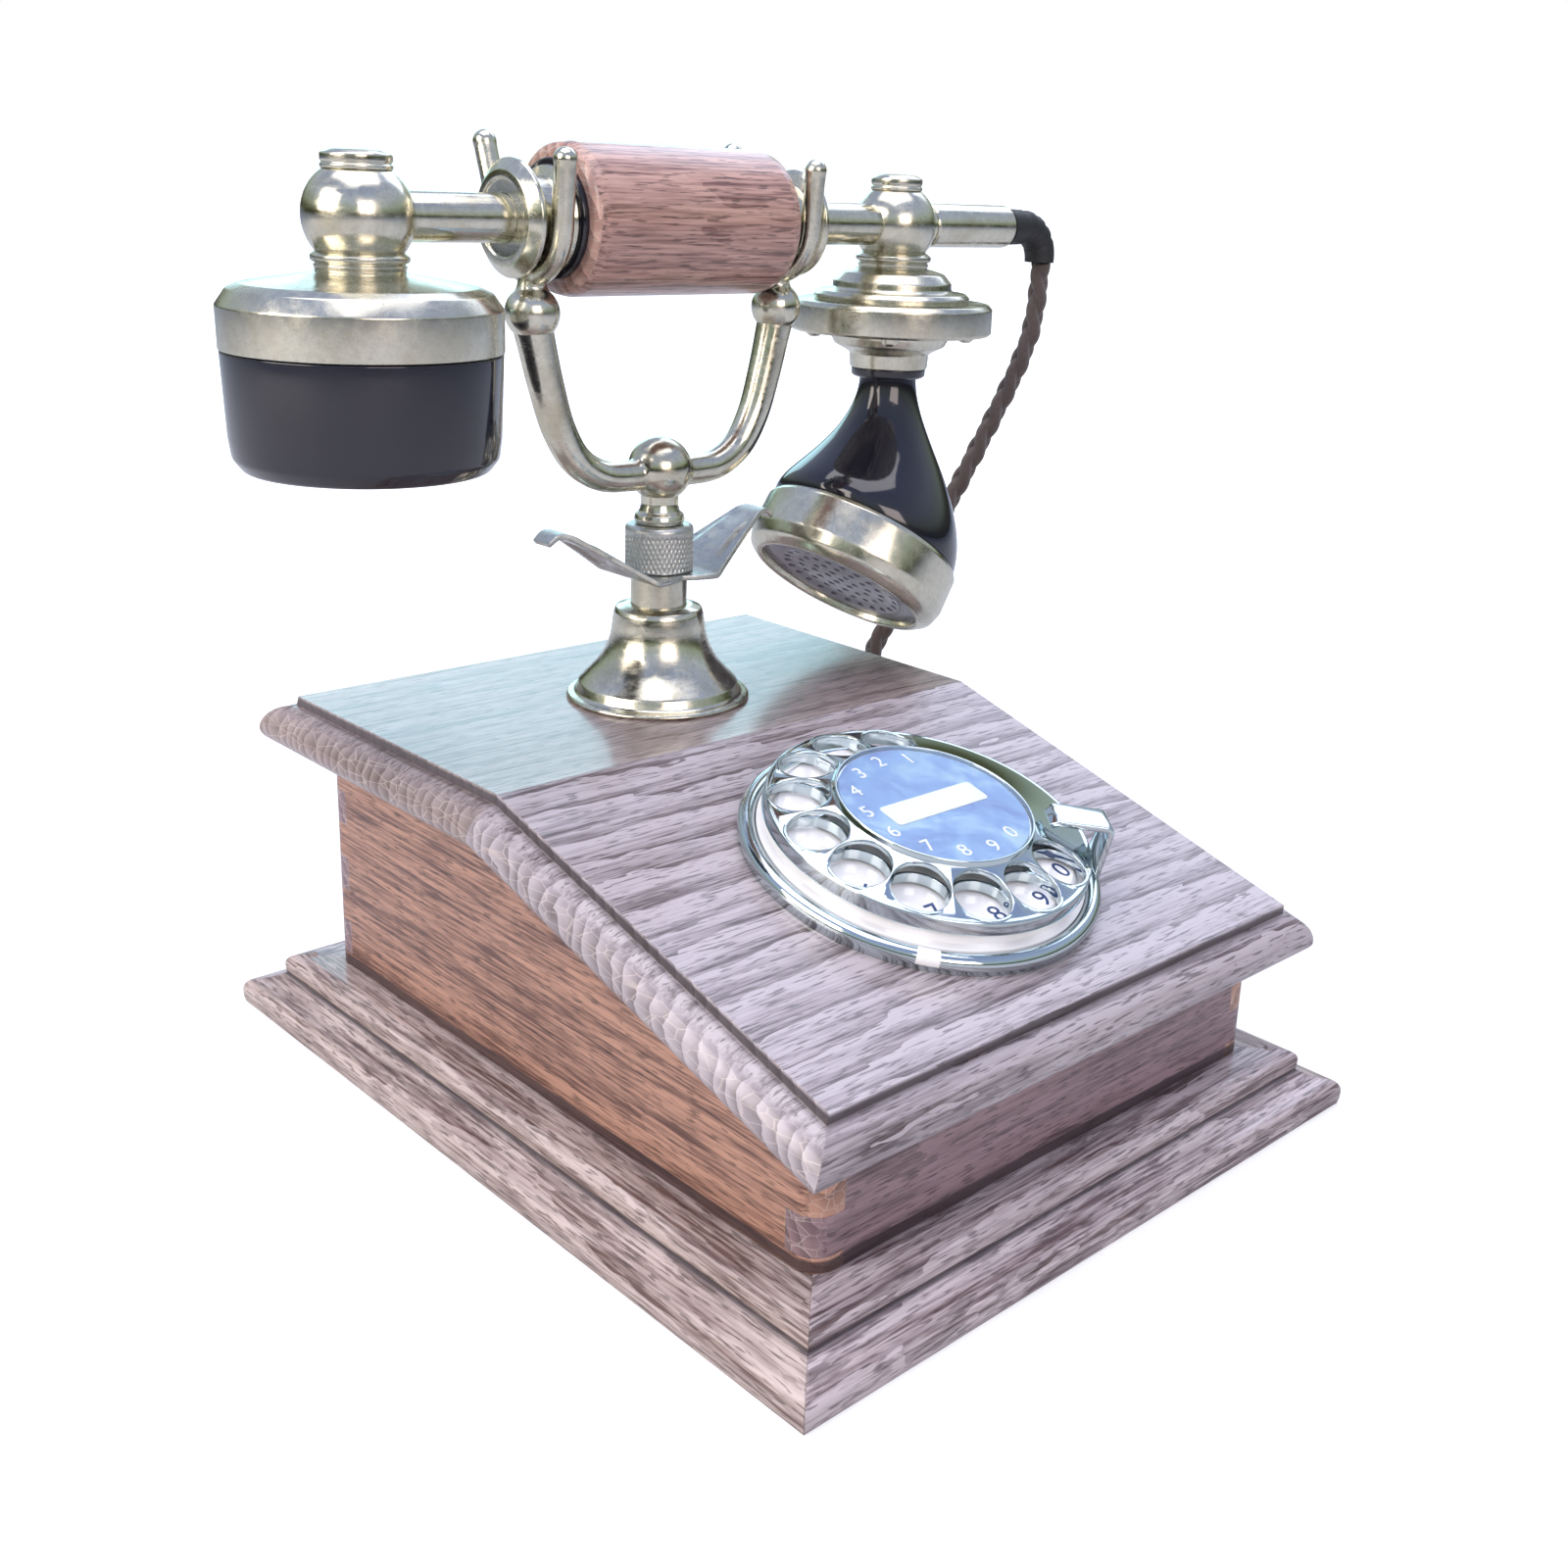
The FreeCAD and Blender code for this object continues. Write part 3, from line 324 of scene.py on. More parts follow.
def textile(name, pale, dark):
    """Braided cotton sleeve: fine crossing threads along the strand's own length and girth."""
    paint = Paint(name, Roughness=0.85, Sheen_Weight=0.35, Sheen_Roughness=0.5, Specular_IOR_Level=0.25)
    strand = paint.node("UVMap", uv_map="strand").outputs["UV"]
    threads = []
    for lean in (0.9, -0.9):
        turned = paint.node("Mapping", {"Vector": strand, "Rotation": (0, 0, lean)}).outputs[0]
        threads.append(paint.wave(turned, 1.0, 1.2, 1.0, 2.0))
    weave = paint.combine("MAXIMUM", *threads)
    fuzz = paint.noise(paint.place(), 900, 5.0, 0.7)
    tone = paint.sum(paint.times(weave, 0.6), paint.times(fuzz, 0.5))
    paint.set("Base Color", paint.ramp(tone, (0.30, dark), (0.80, pale)))
    paint.bump(tone, 0.6, 0.0003)
    return paint.material


def card_paint(name):
    """Blue-grey printed card with soft clouds."""
    paint = Paint(name, Roughness=0.5)
    clouds = paint.noise(paint.place(), 70, 5.0, 0.6, 0.6)
    paint.set("Base Color", paint.ramp(clouds, (0.36, (0.030, 0.12, 0.40)), (0.50, (0.09, 0.24, 0.52)),
                                       (0.64, (0.26, 0.44, 0.56))))
    return paint.material


def clear_paint(name):
    """Thin clear sheet: mostly see-through, with a polished surface."""
    paint = Paint(name, Base_Color=(0.80, 0.92, 1.0, 1), Roughness=0.04, IOR=1.35, Alpha=0.10)
    scuffs = paint.steps(paint.noise(paint.place(), 700, 4.0, 0.7), 0.55, 0.8)
    paint.bump(scuffs, 0.02, 0.0001)
    return paint.material


def matte(name, colour, rough=0.6, grain=900.0, depth=0.15):
    paint = Paint(name)
    dust = paint.noise(paint.place(), grain, 4.0, 0.6)
    paint.set(
        "Base Color",
        paint.mix(dust, tuple(c * 0.8 for c in colour), tuple(min(1, c * 1.25) for c in colour)),
    )
    paint.set("Roughness", paint.steps(dust, 0.3, 0.7, rough * 0.85, min(1.0, rough * 1.15)))
    paint.bump(dust, depth, 0.0002, paint.soft_edges(0.0004))
    return paint.material


UP = (0.0, 0.0, 1.0)
NICKEL = (0.68, 0.66, 0.55)
lid_top = top_of("lid_top_board")
slope_level = dial_spot.dot(dial_normal)
plinth_top = top_of("plinth_front")
# painted shade along the foot of the case where it sits in the plinth, and painted shadow in the plinth's
# groove
foot_shade = (UP, plinth_top - 0.001, plinth_top + 0.0022)
groove_shadow = (UP, 0.0082, 0.0098)
# painted light and shade: the front and back boards get a darker, purplish copy of the stain as painted
# shade, the side boards a paler, warmer copy as painted light from the left
case_front = wood(
    "case_grain_x_shaded", "X", (0.30, 0.20, 0.22), (0.085, 0.048, 0.055), seed=0.31, grime_and_shade=[foot_shade]
)
case_side = wood(
    "case_grain_y_lit", "Y", (0.50, 0.275, 0.195), (0.115, 0.048, 0.034), seed=0.77, rings=0.12, spacing=0.013,
    grime_and_shade=[foot_shade],
)
# the lid boards' step faces are darkened: dirt and painted shade in the step
lid_flat = wood(
    "lid_grain_flat", "X", (0.36, 0.29, 0.28), (0.12, 0.075, 0.070), seed=0.52, coat=0.8,
    grime_and_shade=[(UP, lid_top - 0.0026, lid_top - 0.0002)],
)
# painted reflection: the slope board's pale tone is a lavender-grey that paints the sky's sheen into the
# stain
lid_slope = wood(
    "lid_grain_slope_sheen", "X", (0.44, 0.39, 0.42), (0.085, 0.055, 0.060), seed=0.94, coat=0.6, rings=0.55,
    grime_and_shade=[(dial_normal, slope_level - 0.0026, slope_level - 0.0002)],
)
plinth_x = wood(
    "plinth_grain_x", "X", (0.60, 0.52, 0.54), (0.13, 0.080, 0.085), seed=1.3, flecks=0.45,
    grime_and_shade=[groove_shadow],
)
plinth_y = wood(
    "plinth_grain_y", "Y", (0.60, 0.50, 0.47), (0.13, 0.075, 0.065), seed=1.9, flecks=0.35,
    grime_and_shade=[groove_shadow],
)
grip_wood = wood("grip_wood", "X", (0.56, 0.34, 0.28), (0.17, 0.075, 0.060), seed=2.6, coat=0.8, rings=0.2)
nickel = metal("aged_nickel", NICKEL, 0.21, tarnish=0.55)
nickel_round = metal("turned_nickel", NICKEL, 0.22, tarnish=0.40, brushed="level")
nickel_tube = metal("drawn_nickel", NICKEL, 0.20, tarnish=0.45, brushed="X")
nickel_sheet = metal("sheet_nickel", (0.56, 0.57, 0.54), 0.36, tarnish=0.25)
chrome = metal("bright_chrome", (0.56, 0.64, 0.66), 0.07, tarnish=0.10, scratches=0.3, mottle=0.05)
black = gloss("black_gloss", (0.006, 0.006, 0.012), 0.09, scratches=0.5)
ivory = gloss("ivory_enamel", (0.74, 0.73, 0.74), 0.14)
grey_grille = gloss("grey_grille", (0.22, 0.22, 0.27), 0.28, coat=0.2)
rubber = matte("black_rubber", (0.015, 0.015, 0.016), 0.55)
brass = metal("bell_brass", (0.72, 0.53, 0.24), 0.25)
steel = metal("plated_steel", (0.55, 0.55, 0.56), 0.32)
plywood = wood("plywood", "Y", (0.60, 0.44, 0.27), (0.36, 0.24, 0.13), seed=3.4, coat=0.0)
cord_cloth = textile("cord_cloth", (0.150, 0.115, 0.105), (0.018, 0.013, 0.014))
card = card_paint("blue_card")
clear = clear_paint("clear_lens")
ink_white = matte("white_ink", (0.80, 0.84, 0.86), 0.45, depth=0.02)
ink_blue = matte("blue_ink", (0.012, 0.045, 0.16), 0.45, depth=0.02)
label_paper = matte("label_paper", (0.70, 0.76, 0.72), 0.5, depth=0.05)

PAINTED_NODES = (
    (plinth_x, "plinth_front plinth_back"), (plinth_y, "plinth_left plinth_right"),
    (case_front, "case_front_board case_back_board"), (case_side, "case_left_board case_right_board"),
    (lid_flat, "lid_top_board"), (lid_slope, "lid_slope_board"), (plywood, "base_board"),
    (steel, "base_screws dial_housing dial_shaft ringer_frame clapper voice_capsules"),
    (brass, "drive_gear governor_pinion gongs"), (black, "ringer_coils hook_switch network_block"),
    (rubber, "line_inlet cord_gland"),
)
for paint, nodes in PAINTED_NODES:
    for node in nodes.split():
        mesh = frame["nodes"][node].data
        mesh.materials.clear()
        mesh.materials.append(paint)


# ---- mesh helpers

def mesh_from(name, bm):
    mesh = bpy.data.meshes.new(name)
    bm.to_mesh(mesh)
    bm.free()
    return mesh


def linked(name, data):
    """A new object in the scene."""
    made = bpy.data.objects.new(name, data)
    bpy.context.scene.collection.objects.link(made)
    return made


def shade_smooth(mesh, sharp=None):
    """Smooth shading, broken at edges sharper than an angle in degrees."""
    mesh.polygons.foreach_set("use_smooth", [True] * len(mesh.polygons))
    if sharp is not None:
        mesh.set_sharp_from_angle(angle=math.radians(sharp))


def piece(name, bm, paint, body, place=None):
    """Turn a bmesh made in millimetres into an object that rides on a body."""
    if place is not None:
        bm.transform(place)
    bmesh.ops.recalc_face_normals(bm, faces=bm.faces)
    mesh = mesh_from(name, bm)
    shade_smooth(mesh, 40)
    made = linked(name, mesh)
    mesh.materials.append(paint)
    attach(made, body)
    return made


def soften(outline, usual=0.3, steps=4):
    """Round the corners of an outline of (r, z) or (r, z, radius) points."""
    result = []
    for i, point in enumerate(outline):
        here = Vector(point[:2])
        radius = point[2] if len(point) > 2 else usual
        if i in (0, len(outline) - 1) or radius == 0:
            result.append(here)
            continue
        back, ahead = Vector(outline[i - 1][:2]) - here, Vector(outline[i + 1][:2]) - here
        half = back.angle(ahead) / 2
        if math.degrees(half) > 87:
            result.append(here)
            continue
        reach = min(radius / math.tan(half), 0.45 * back.length, 0.45 * ahead.length)
        start, end = here + back.normalized() * reach, here + ahead.normalized() * reach
        for step in range(steps + 1):
            t = step / steps
            result.append(start * (1 - t) ** 2 + here * (2 * t * (1 - t)) + end * t * t)
    return result


def arc(start, through, end, steps=10):
    """Points on the circle through three points, as outline points that keep their place."""
    (ax, ay), (bx, by), (cx, cy) = start, through, end
    d = 2 * (ax * (by - cy) + bx * (cy - ay) + cx * (ay - by))
    a2, b2, c2 = ax * ax + ay * ay, bx * bx + by * by, cx * cx + cy * cy
    ux = (a2 * (by - cy) + b2 * (cy - ay) + c2 * (ay - by)) / d
    uy = (a2 * (cx - bx) + b2 * (ax - cx) + c2 * (bx - ax)) / d
    radius = math.hypot(ax - ux, ay - uy)
    angles = [math.atan2(y - uy, x - ux) for x, y in (start, through, end)]
    sweep = (angles[2] - angles[0]) % TAU
    if (angles[1] - angles[0]) % TAU > sweep:
        sweep -= TAU
    return [(ux + radius * math.cos(angles[0] + sweep * k / steps),
             uy + radius * math.sin(angles[0] + sweep * k / steps), 0) for k in range(steps + 1)]


def lathe_mesh(outline, segments=128, usual=0.3, wave=None):
    """Surface of revolution about Z; an outline with both ends off the axis is closed on itself."""
    points = soften(outline, usual)
    bm = bmesh.new()
    rings = []
    for r, z in points:
        if r < 1e-6:
            rings.append([bm.verts.new((0, 0, z))])
            continue
        ring = []
        for k in range(segments):
            angle = TAU * k / segments
            here = r + (wave(angle, r, z) if wave else 0.0)
            ring.append(bm.verts.new((here * math.cos(angle), here * math.sin(angle), z)))
        rings.append(ring)
    pairs = list(zip(rings, rings[1:]))
    if len(rings[0]) > 1 and len(rings[-1]) > 1:
        pairs.append((rings[-1], rings[0]))
    for low, high in pairs:
        for k in range(segments):
            n = (k + 1) % segments
            corners = low[k % len(low)], low[n % len(low)], high[n % len(high)], high[k % len(high)]
            corners = list(dict.fromkeys(corners))
            if len(corners) > 2:
                bm.faces.new(corners)
    return bm


def lathe(name, outline, paint, body, place, segments=128, usual=0.3, wave=None):
    return piece(name, lathe_mesh(outline, segments, usual, wave), paint, body, place)


def skin(bm, rings):
    """Faces between neighbouring rings of vertices."""
    sides = len(rings[0])
    return [bm.faces.new((low[k], low[(k + 1) % sides], high[(k + 1) % sides], high[k]))
            for low, high in zip(rings, rings[1:]) for k in range(sides)]


def tube_mesh(points, radius, sides=24, uv_turns=None):
    """Tube along points with flat ends; radius is a number or one per point."""
    bm = bmesh.new()
    layer = bm.loops.layers.uv.new("strand") if uv_turns else None
    radii = radius if isinstance(radius, list) else [radius] * len(points)
    side = None
    rings, along, run = [], 0.0, []
    for i, point in enumerate(points):
        ahead = (points[min(i + 1, len(points) - 1)] - points[max(i - 1, 0)]).normalized()
        if side is None:
            side = ahead.orthogonal().normalized()
        side = (side - ahead * side.dot(ahead)).normalized()
        up = ahead.cross(side)
        along += (point - points[i - 1]).length if i else 0.0
        run.append(along)
        rings.append([bm.verts.new(point + (side * math.cos(TAU * k / sides) + up * math.sin(TAU * k / sides))
                                   * radii[i]) for k in range(sides)])
    for number, face in enumerate(skin(bm, rings)):
        if layer:
            i, k = divmod(number, sides)
            for loop, (u, v) in zip(face.loops, ((k, i), (k + 1, i), (k + 1, i + 1), (k, i + 1))):
                loop[layer].uv = (u / sides * uv_turns, run[v] / (TAU * radii[0]) * uv_turns)
    bm.faces.new(rings[0][::-1])
    bm.faces.new(rings[-1])
    return bm


def merged(*meshes):
    whole = bmesh.new()
    for bm in meshes:
        mesh = mesh_from("part", bm)
        whole.from_mesh(mesh)
        bpy.data.meshes.remove(mesh)
    return whole


def with_modifiers(made, *modifiers):
    """Apply modifiers given as (kind, settings) and keep the result as the object's own mesh."""
    for kind, settings in modifiers:
        modifier = made.modifiers.new(kind.lower(), kind)
        for key, value in settings.items():
            setattr(modifier, key, value)
    graph = bpy.context.evaluated_depsgraph_get()
    result = bpy.data.meshes.new_from_object(made.evaluated_get(graph))
    made.modifiers.clear()
    old, made.data = made.data, result
    result.name = old.name


def bevelled(width, segments=2, angle=50, **settings):
    """A bevel, in millimetres, of the edges sharper than an angle, for with_modifiers."""
    return "BEVEL", {"width": width * MM, "segments": segments, "limit_method": "ANGLE",
                     "angle_limit": math.radians(angle), **settings}


def cast(name, bm, paint, body, place, voxel=0.45, smooth=8):
    """Blend overlapping solids into one casting with soft inner corners."""
    made = piece(name, bm, paint, body, place)
    with_modifiers(made, ("REMESH", {"mode": "VOXEL", "voxel_size": voxel * MM, "use_smooth_shade": True}),
                   ("SMOOTH", {"factor": 0.5, "iterations": smooth}))
    return made


def hole_cutter(spots, radius, low, high, segments=48):
    bm = bmesh.new()
    for x, y in spots:
        bmesh.ops.create_cone(bm, cap_ends=True, segments=segments, radius1=radius, radius2=radius,
                              depth=high - low, matrix=Matrix.Translation((x, y, (low + high) / 2)))
    return bm


def drilled(made, cutter_mesh, place, bevel=0.2):
    """Cut holes in a piece, then round their edges."""
    cutter_mesh.transform(place)
    cutter = linked("cutter", mesh_from("cutter", cutter_mesh))
    steps = [("BOOLEAN", {"operation": "DIFFERENCE", "object": cutter, "solver": "EXACT"})]
    if bevel:
        steps.append(bevelled(bevel, use_clamp_overlap=True))
    with_modifiers(made, *steps)
    bpy.data.objects.remove(cutter)
    shade_smooth(made.data, 38)


# ---- dial

WHEEL_R, WHEEL_TOP, WHEEL_RISE = 38.0, 10.8, 3.8
LENS_R, PLATE_R, BEZEL_R, FINGER_R, PITCH_R = 22.5, 38.4, 42.0, 6.65, 30.3
FIRST_DEG, STEP_DEG, STOP_DEG, TAB_DEG, TAB_WIDE_DEG = 65.5, 25.9, -35.0, -132.5, 8.5
hole_angles = [math.radians(FIRST_DEG + k * STEP_DEG) for k in range(10)]


def digits(radius, size, height, thickness, paint, body, name, ahead=0.0):
    """The numbers 1 to 9 and 0 by the finger holes' angles, upright for the person dialling."""
    for k, hole_angle in enumerate(hole_angles):
        angle = hole_angle + math.radians(ahead)
        number = (k + 1) % 10
        text = bpy.data.curves.new("%s_%d" % (name, number), "FONT")
        text.body = str(number)
        text.size = size
        text.align_x, text.align_y = "CENTER", "CENTER"
        text.extrude = thickness / 2
        holder = linked(text.name, text)
        graph = bpy.context.evaluated_depsgraph_get()
        mesh = bpy.data.meshes.new_from_object(holder.evaluated_get(graph))
        bm = bmesh.new()
        bm.from_mesh(mesh)
        bpy.data.objects.remove(holder)
        bm.transform(Matrix.Translation((radius * math.cos(angle), radius * math.sin(angle), height)))
        piece("%s_%d" % (name, number), bm, paint, body, on_dial)


def dial_wheel():
    plate = 1.2
    hub_low, hub_high = WHEEL_TOP - plate + WHEEL_RISE, WHEEL_TOP + WHEEL_RISE
    outline = [
        (3.0, hub_low), (LENS_R, hub_low), (WHEEL_R - 1.3, WHEEL_TOP - plate),
        (WHEEL_R - 1.3, WHEEL_TOP - 3.4, 0.1), (WHEEL_R, WHEEL_TOP - 3.4, 0.2), (WHEEL_R, WHEEL_TOP, 0.55),
        (WHEEL_R - 1.2, WHEEL_TOP, 0.4), (LENS_R + 0.9, hub_high - 0.2, 0.2),
        (LENS_R + 0.6, hub_high + 1.2, 0.25), (LENS_R + 0.1, hub_high + 1.2, 0.2),
        (LENS_R + 0.1, hub_high - 0.1, 0), (3.0, hub_high - 0.1),
    ]
    wheel = lathe("finger_wheel_plate", outline, chrome, "dial_rotor", on_dial, 240, 0.15)
    spots = [(PITCH_R * math.cos(a), PITCH_R * math.sin(a)) for a in hole_angles]
    drilled(wheel, hole_cutter(spots, FINGER_R, 5, 20, 64), on_dial, 0.22)
    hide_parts("finger_wheel")
    collars = []
    for x, y in spots:
        outline = [
            (FINGER_R + 0.02, 9.6), (FINGER_R + 0.75, 9.6, 0.1), (FINGER_R + 0.75, 7.2, 0.25),
            (FINGER_R + 0.02, 7.2, 0.25),
        ]
        lip = lathe_mesh(outline, 64, 0.1)
        lift = WHEEL_RISE * (WHEEL_R - 1.2 - math.hypot(x, y)) / (WHEEL_R - 1.2 - LENS_R)
        lip.transform(Matrix.Translation((x, y, lift * 0.85)))
        collars.append(lip)
    lips = piece("finger_hole_collars", merged(*collars), chrome, "dial_rotor", on_dial)


def dial_centre():
    low = WHEEL_TOP + WHEEL_RISE
    outline = [(0, low), (LENS_R - 0.4, low, 0.1), (LENS_R - 0.4, low + 0.5, 0.1), (0, low + 0.5)]
    disc = lathe("number_card_disc", outline, card, "dial_rotor", on_dial)
    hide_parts("number_card")
    dome = [(LENS_R * k / 8, 1.7 - 0.7 * (k / 8) ** 2) for k in range(9)]
    below = [(r, low + h - 0.3, 0) for r, h in dome]
    above = [(r, low + h, 0) for r, h in dome[::-1]]
    lens = lathe("dial_lens_dome", below + above, clear, "dial_rotor", on_dial)
    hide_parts("dial_lens")
    digits(18.2, 5.6, low + 0.58, 0.12, ink_white, "dial_rotor", "card_digit")
    bm = bmesh.new()
    label = Matrix.Translation((0, 0, low + 0.6)) @ Matrix.Diagonal((29, 7.2, 0.16, 1))
    bmesh.ops.create_cube(bm, size=1, matrix=label)
    corners = [e for e in bm.edges if abs(e.verts[0].co.z - e.verts[1].co.z) > 0.1]
    bmesh.ops.bevel(bm, geom=corners, offset=0.5, segments=3, affect="EDGES")
    piece("blank_label", bm, label_paper, "dial_rotor", on_dial)


def dial_surround():
    crown = arc((BEZEL_R, 0.9), (BEZEL_R - 1.9, 4.3), (PLATE_R + 0.2, 3.4), 14)
    outline = [(PLATE_R, 0.02), (BEZEL_R, 0.02, 0.1)] + crown + [(PLATE_R, 2.6)]
    bezel = lathe("bezel_ring", outline, chrome, "case", on_dial, 200, 0.2)
    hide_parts("dial_bezel")
    outline = [
        (3.2, 3.0), (PLATE_R, 3.0, 0.1), (PLATE_R, 3.9, 0.4), (36.6, 4.3, 0.5), (35.9, 6.2, 0.7),
        (35.0, 7.5, 0.7), (34.2, 8.0, 0.6), (3.2, 8.0),
    ]
    plate = lathe("number_plate_ring", outline, ivory, "case", on_dial, 200)
    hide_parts("number_plate")
    digits(31.6, 7.0, 8.05, 0.08, ink_blue, "case", "plate_digit", 8.0)
    outside = arc((BEZEL_R + 0.15, 1.2), (BEZEL_R - 1.9, 4.45), (PLATE_R + 0.6, 3.9), 8)
    inside = arc((PLATE_R + 0.5, 3.3), (BEZEL_R - 2.0, 3.9), (BEZEL_R - 0.3, 1.2), 8)
    tab = lathe_mesh(outside + inside, 360, 0.05)
    at, half = math.radians(TAB_DEG), math.radians(TAB_WIDE_DEG) / 2
    far = [v for v in tab.verts if abs((math.atan2(v.co.y, v.co.x) - at + math.pi) % TAU - math.pi) > half]
    bmesh.ops.delete(tab, geom=far, context="VERTS")
    bmesh.ops.holes_fill(tab, edges=[e for e in tab.edges if e.is_boundary])
    piece("bezel_tab", tab, ivory, "case", on_dial)


def dial_stop():
    """Bent strip: up from the bezel outside the rim, flat over the wheel, with a rounded, turned-down tip."""
    top, thickness, half = WHEEL_TOP + WHEEL_RISE + 1.6, 1.5, 4.1
    side = soften([(41.3, 1.6), (41.3, top, 1.3), (28.6, top, 1.0), (27.0, top - 1.3)], 0.3, 6)
    bm, rows = bmesh.new(), []
    for i, here in enumerate(side):
        ahead = (side[min(i + 1, len(side) - 1)] - side[max(i - 1, 0)]).normalized()
        across = Vector((ahead.y, -ahead.x)) * thickness / 2
        near = clamped((here.x - 26.6) / 3.4)
        wide = half * (0.55 + 0.45 * math.sqrt(1 - (1 - near) ** 2))
        rows.append([bm.verts.new((here.x + s * across.x, w * wide, here.y + s * across.y))
                     for s, w in ((-1, -1), (1, -1), (1, 1), (-1, 1))])
    skin(bm, rows)
    bm.faces.new(rows[0])
    bm.faces.new(rows[-1][::-1])
    bmesh.ops.rotate(bm, verts=bm.verts, matrix=Matrix.Rotation(math.radians(STOP_DEG), 3, "Z"))
    stop = piece("finger_stop_hook", bm, chrome, "case", on_dial)
    with_modifiers(stop, bevelled(0.3, 3, 40))
    stop.data.set_sharp_from_angle(angle=math.radians(60))
    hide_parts("finger_stop")


# ---- stand and cradle

def stand():
    z = foot_of("stand_base") / MM
    flange = [
        (7.2, z + 0.02), (23.3, z + 0.02, 0.3), (23.8, z + 0.6, 0.4), (23.3, z + 1.3, 0.4),
        (21.8, z + 1.5, 0.3),
    ]
    swell = [(21.3, z + 2.0, 0.5), (20.6, z + 4.2, 1.6), (18.4, z + 6.4, 3.0)]
    waist = arc((17.2, z + 7.7), (13.6, z + 13.0), (11.9, z + 20.0), 14)
    shoulder = [(11.5, z + 22.6, 0.8), (11.0, z + 23.8, 0.8), (8.6, z + 24.5, 0.8), (7.2, z + 24.6)]
    bell = lathe("bell_base", flange + swell + waist + shoulder, nickel, "case", on_stand, 160)
    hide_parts("stand_base")
    outline = [(3.3, z - 22), (7.2, z - 22), (7.2, 115.6, 0.3), (5.5, 115.6, 0.1), (5.5, 129.0), (3.3, 129.0)]
    column = lathe("column_tube", outline, nickel_round, "case", on_stand, 96)
    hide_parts("stand_column")
    teeth, pitch, depth, lowest, highest = 44, 1.24, 0.32, 117.6, 126.6

    def knurl(angle, r, height):
        if r < 8.4 or not lowest < height < highest:
            return 0.0
        fade = min(1.0, (height - lowest) / 0.3, (highest - height) / 0.3)
        a, b = teeth * angle + TAU * height / (2 * pitch), teeth * angle - TAU * height / (2 * pitch)
        return -depth * fade * (1 - abs(math.sin(a / 2)) * abs(math.sin(b / 2)))

    rise = [(8.7, 117.5 + 0.11 * k, 0) for k in range(84)]
    crown = arc((8.7, 127.6), (8.3, 128.6), (7.2, 129.0), 8)
    outline = [(5.5, 117.1), (8.4, 117.1, 0.2)] + rise + crown + [(5.5, 129.0)]
    nut = lathe("knurled_nut_ring", outline, nickel_sheet, "case", on_stand, 440, 0.2, knurl)
    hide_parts("knurled_nut")


def wing_plate():
    """Stamped sheet with two wings: flat under the nut, rising outwards, turned down at the tips."""
    z, reach, columns, rows = 115.7, 35.4, 96, 28

    def height(x):
        bends = [(0.0, 0.0), (9.5, 0.0), (30.0, 12.8), (32.8, 13.4), (35.6, 11.2)]
        path = soften([(a, b, 2.0) for a, b in bends], 2.0, 6)
        for (x0, h0), (x1, h1) in zip(path, path[1:]):
            if x0 <= x <= x1:
                return h0 + (h1 - h0) * (x - x0) / max(x1 - x0, 1e-6)
        return path[-1].y

    def half_width(x):
        if x < 10:
            return 12.6 - 0.06 * (10 - x) ** 1.7
        share = (x - 10) / 22.0
        return 12.6 - 8.6 * min(share, 1.0) ** 0.92 - 0.25 * max(0.0, x - 32)

    bm = bmesh.new()
    grid = []
    for i in range(columns + 1):
        x = -reach + 2 * reach * i / columns
        half = half_width(abs(x))
        line = []
        for j in range(rows + 1):
            v = -1 + 2 * j / rows
            share = (abs(x) - 12.5) / 14.5
            inside = min(share, 1 - share) if 0 < share < 1 else -1
            rib = min(inside * 4.0, (0.70 - abs(v)) * 5.0)
            lift = 0.75 * clamped(rib)
            line.append(bm.verts.new((x, v * half, z + height(abs(x)) + lift)))
        grid.append(line)
    for a, b in zip(grid, grid[1:]):
        for j in range(rows):
            bm.faces.new((a[j], a[j + 1], b[j + 1], b[j]))
    wing = piece("winged_plate", bm, nickel_sheet, "case", on_stand)
    with_modifiers(wing, ("SOLIDIFY", {"thickness": 1.3 * MM, "offset": 1.0}), bevelled(0.3))
    wing.data.set_sharp_from_angle(angle=math.radians(40))
    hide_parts("wing_plate")


def smooth_path(points, steps=14):
    """A smooth line through a few points: Catmull-Rom."""
    points = [Vector(p) for p in points]
    points = [points[0] * 2 - points[1]] + points + [points[-1] * 2 - points[-2]]
    line = []
    for a, b, c, d in zip(points, points[1:], points[2:], points[3:]):
        for k in range(steps):
            t = k / steps
            line.append(0.5 * ((b * 2) + (c - a) * t + (a * 2 - b * 5 + c * 4 - d) * t * t
                               + (b * 3 - a - c * 3 + d) * t ** 3))
    return line + [points[-2]]


def ball_mesh(centre, radius, segments=48):
    bm = bmesh.new()
    bmesh.ops.create_uvsphere(
        bm, u_segments=segments, v_segments=segments // 2, radius=radius, matrix=Matrix.Translation(centre)
    )
    return bm


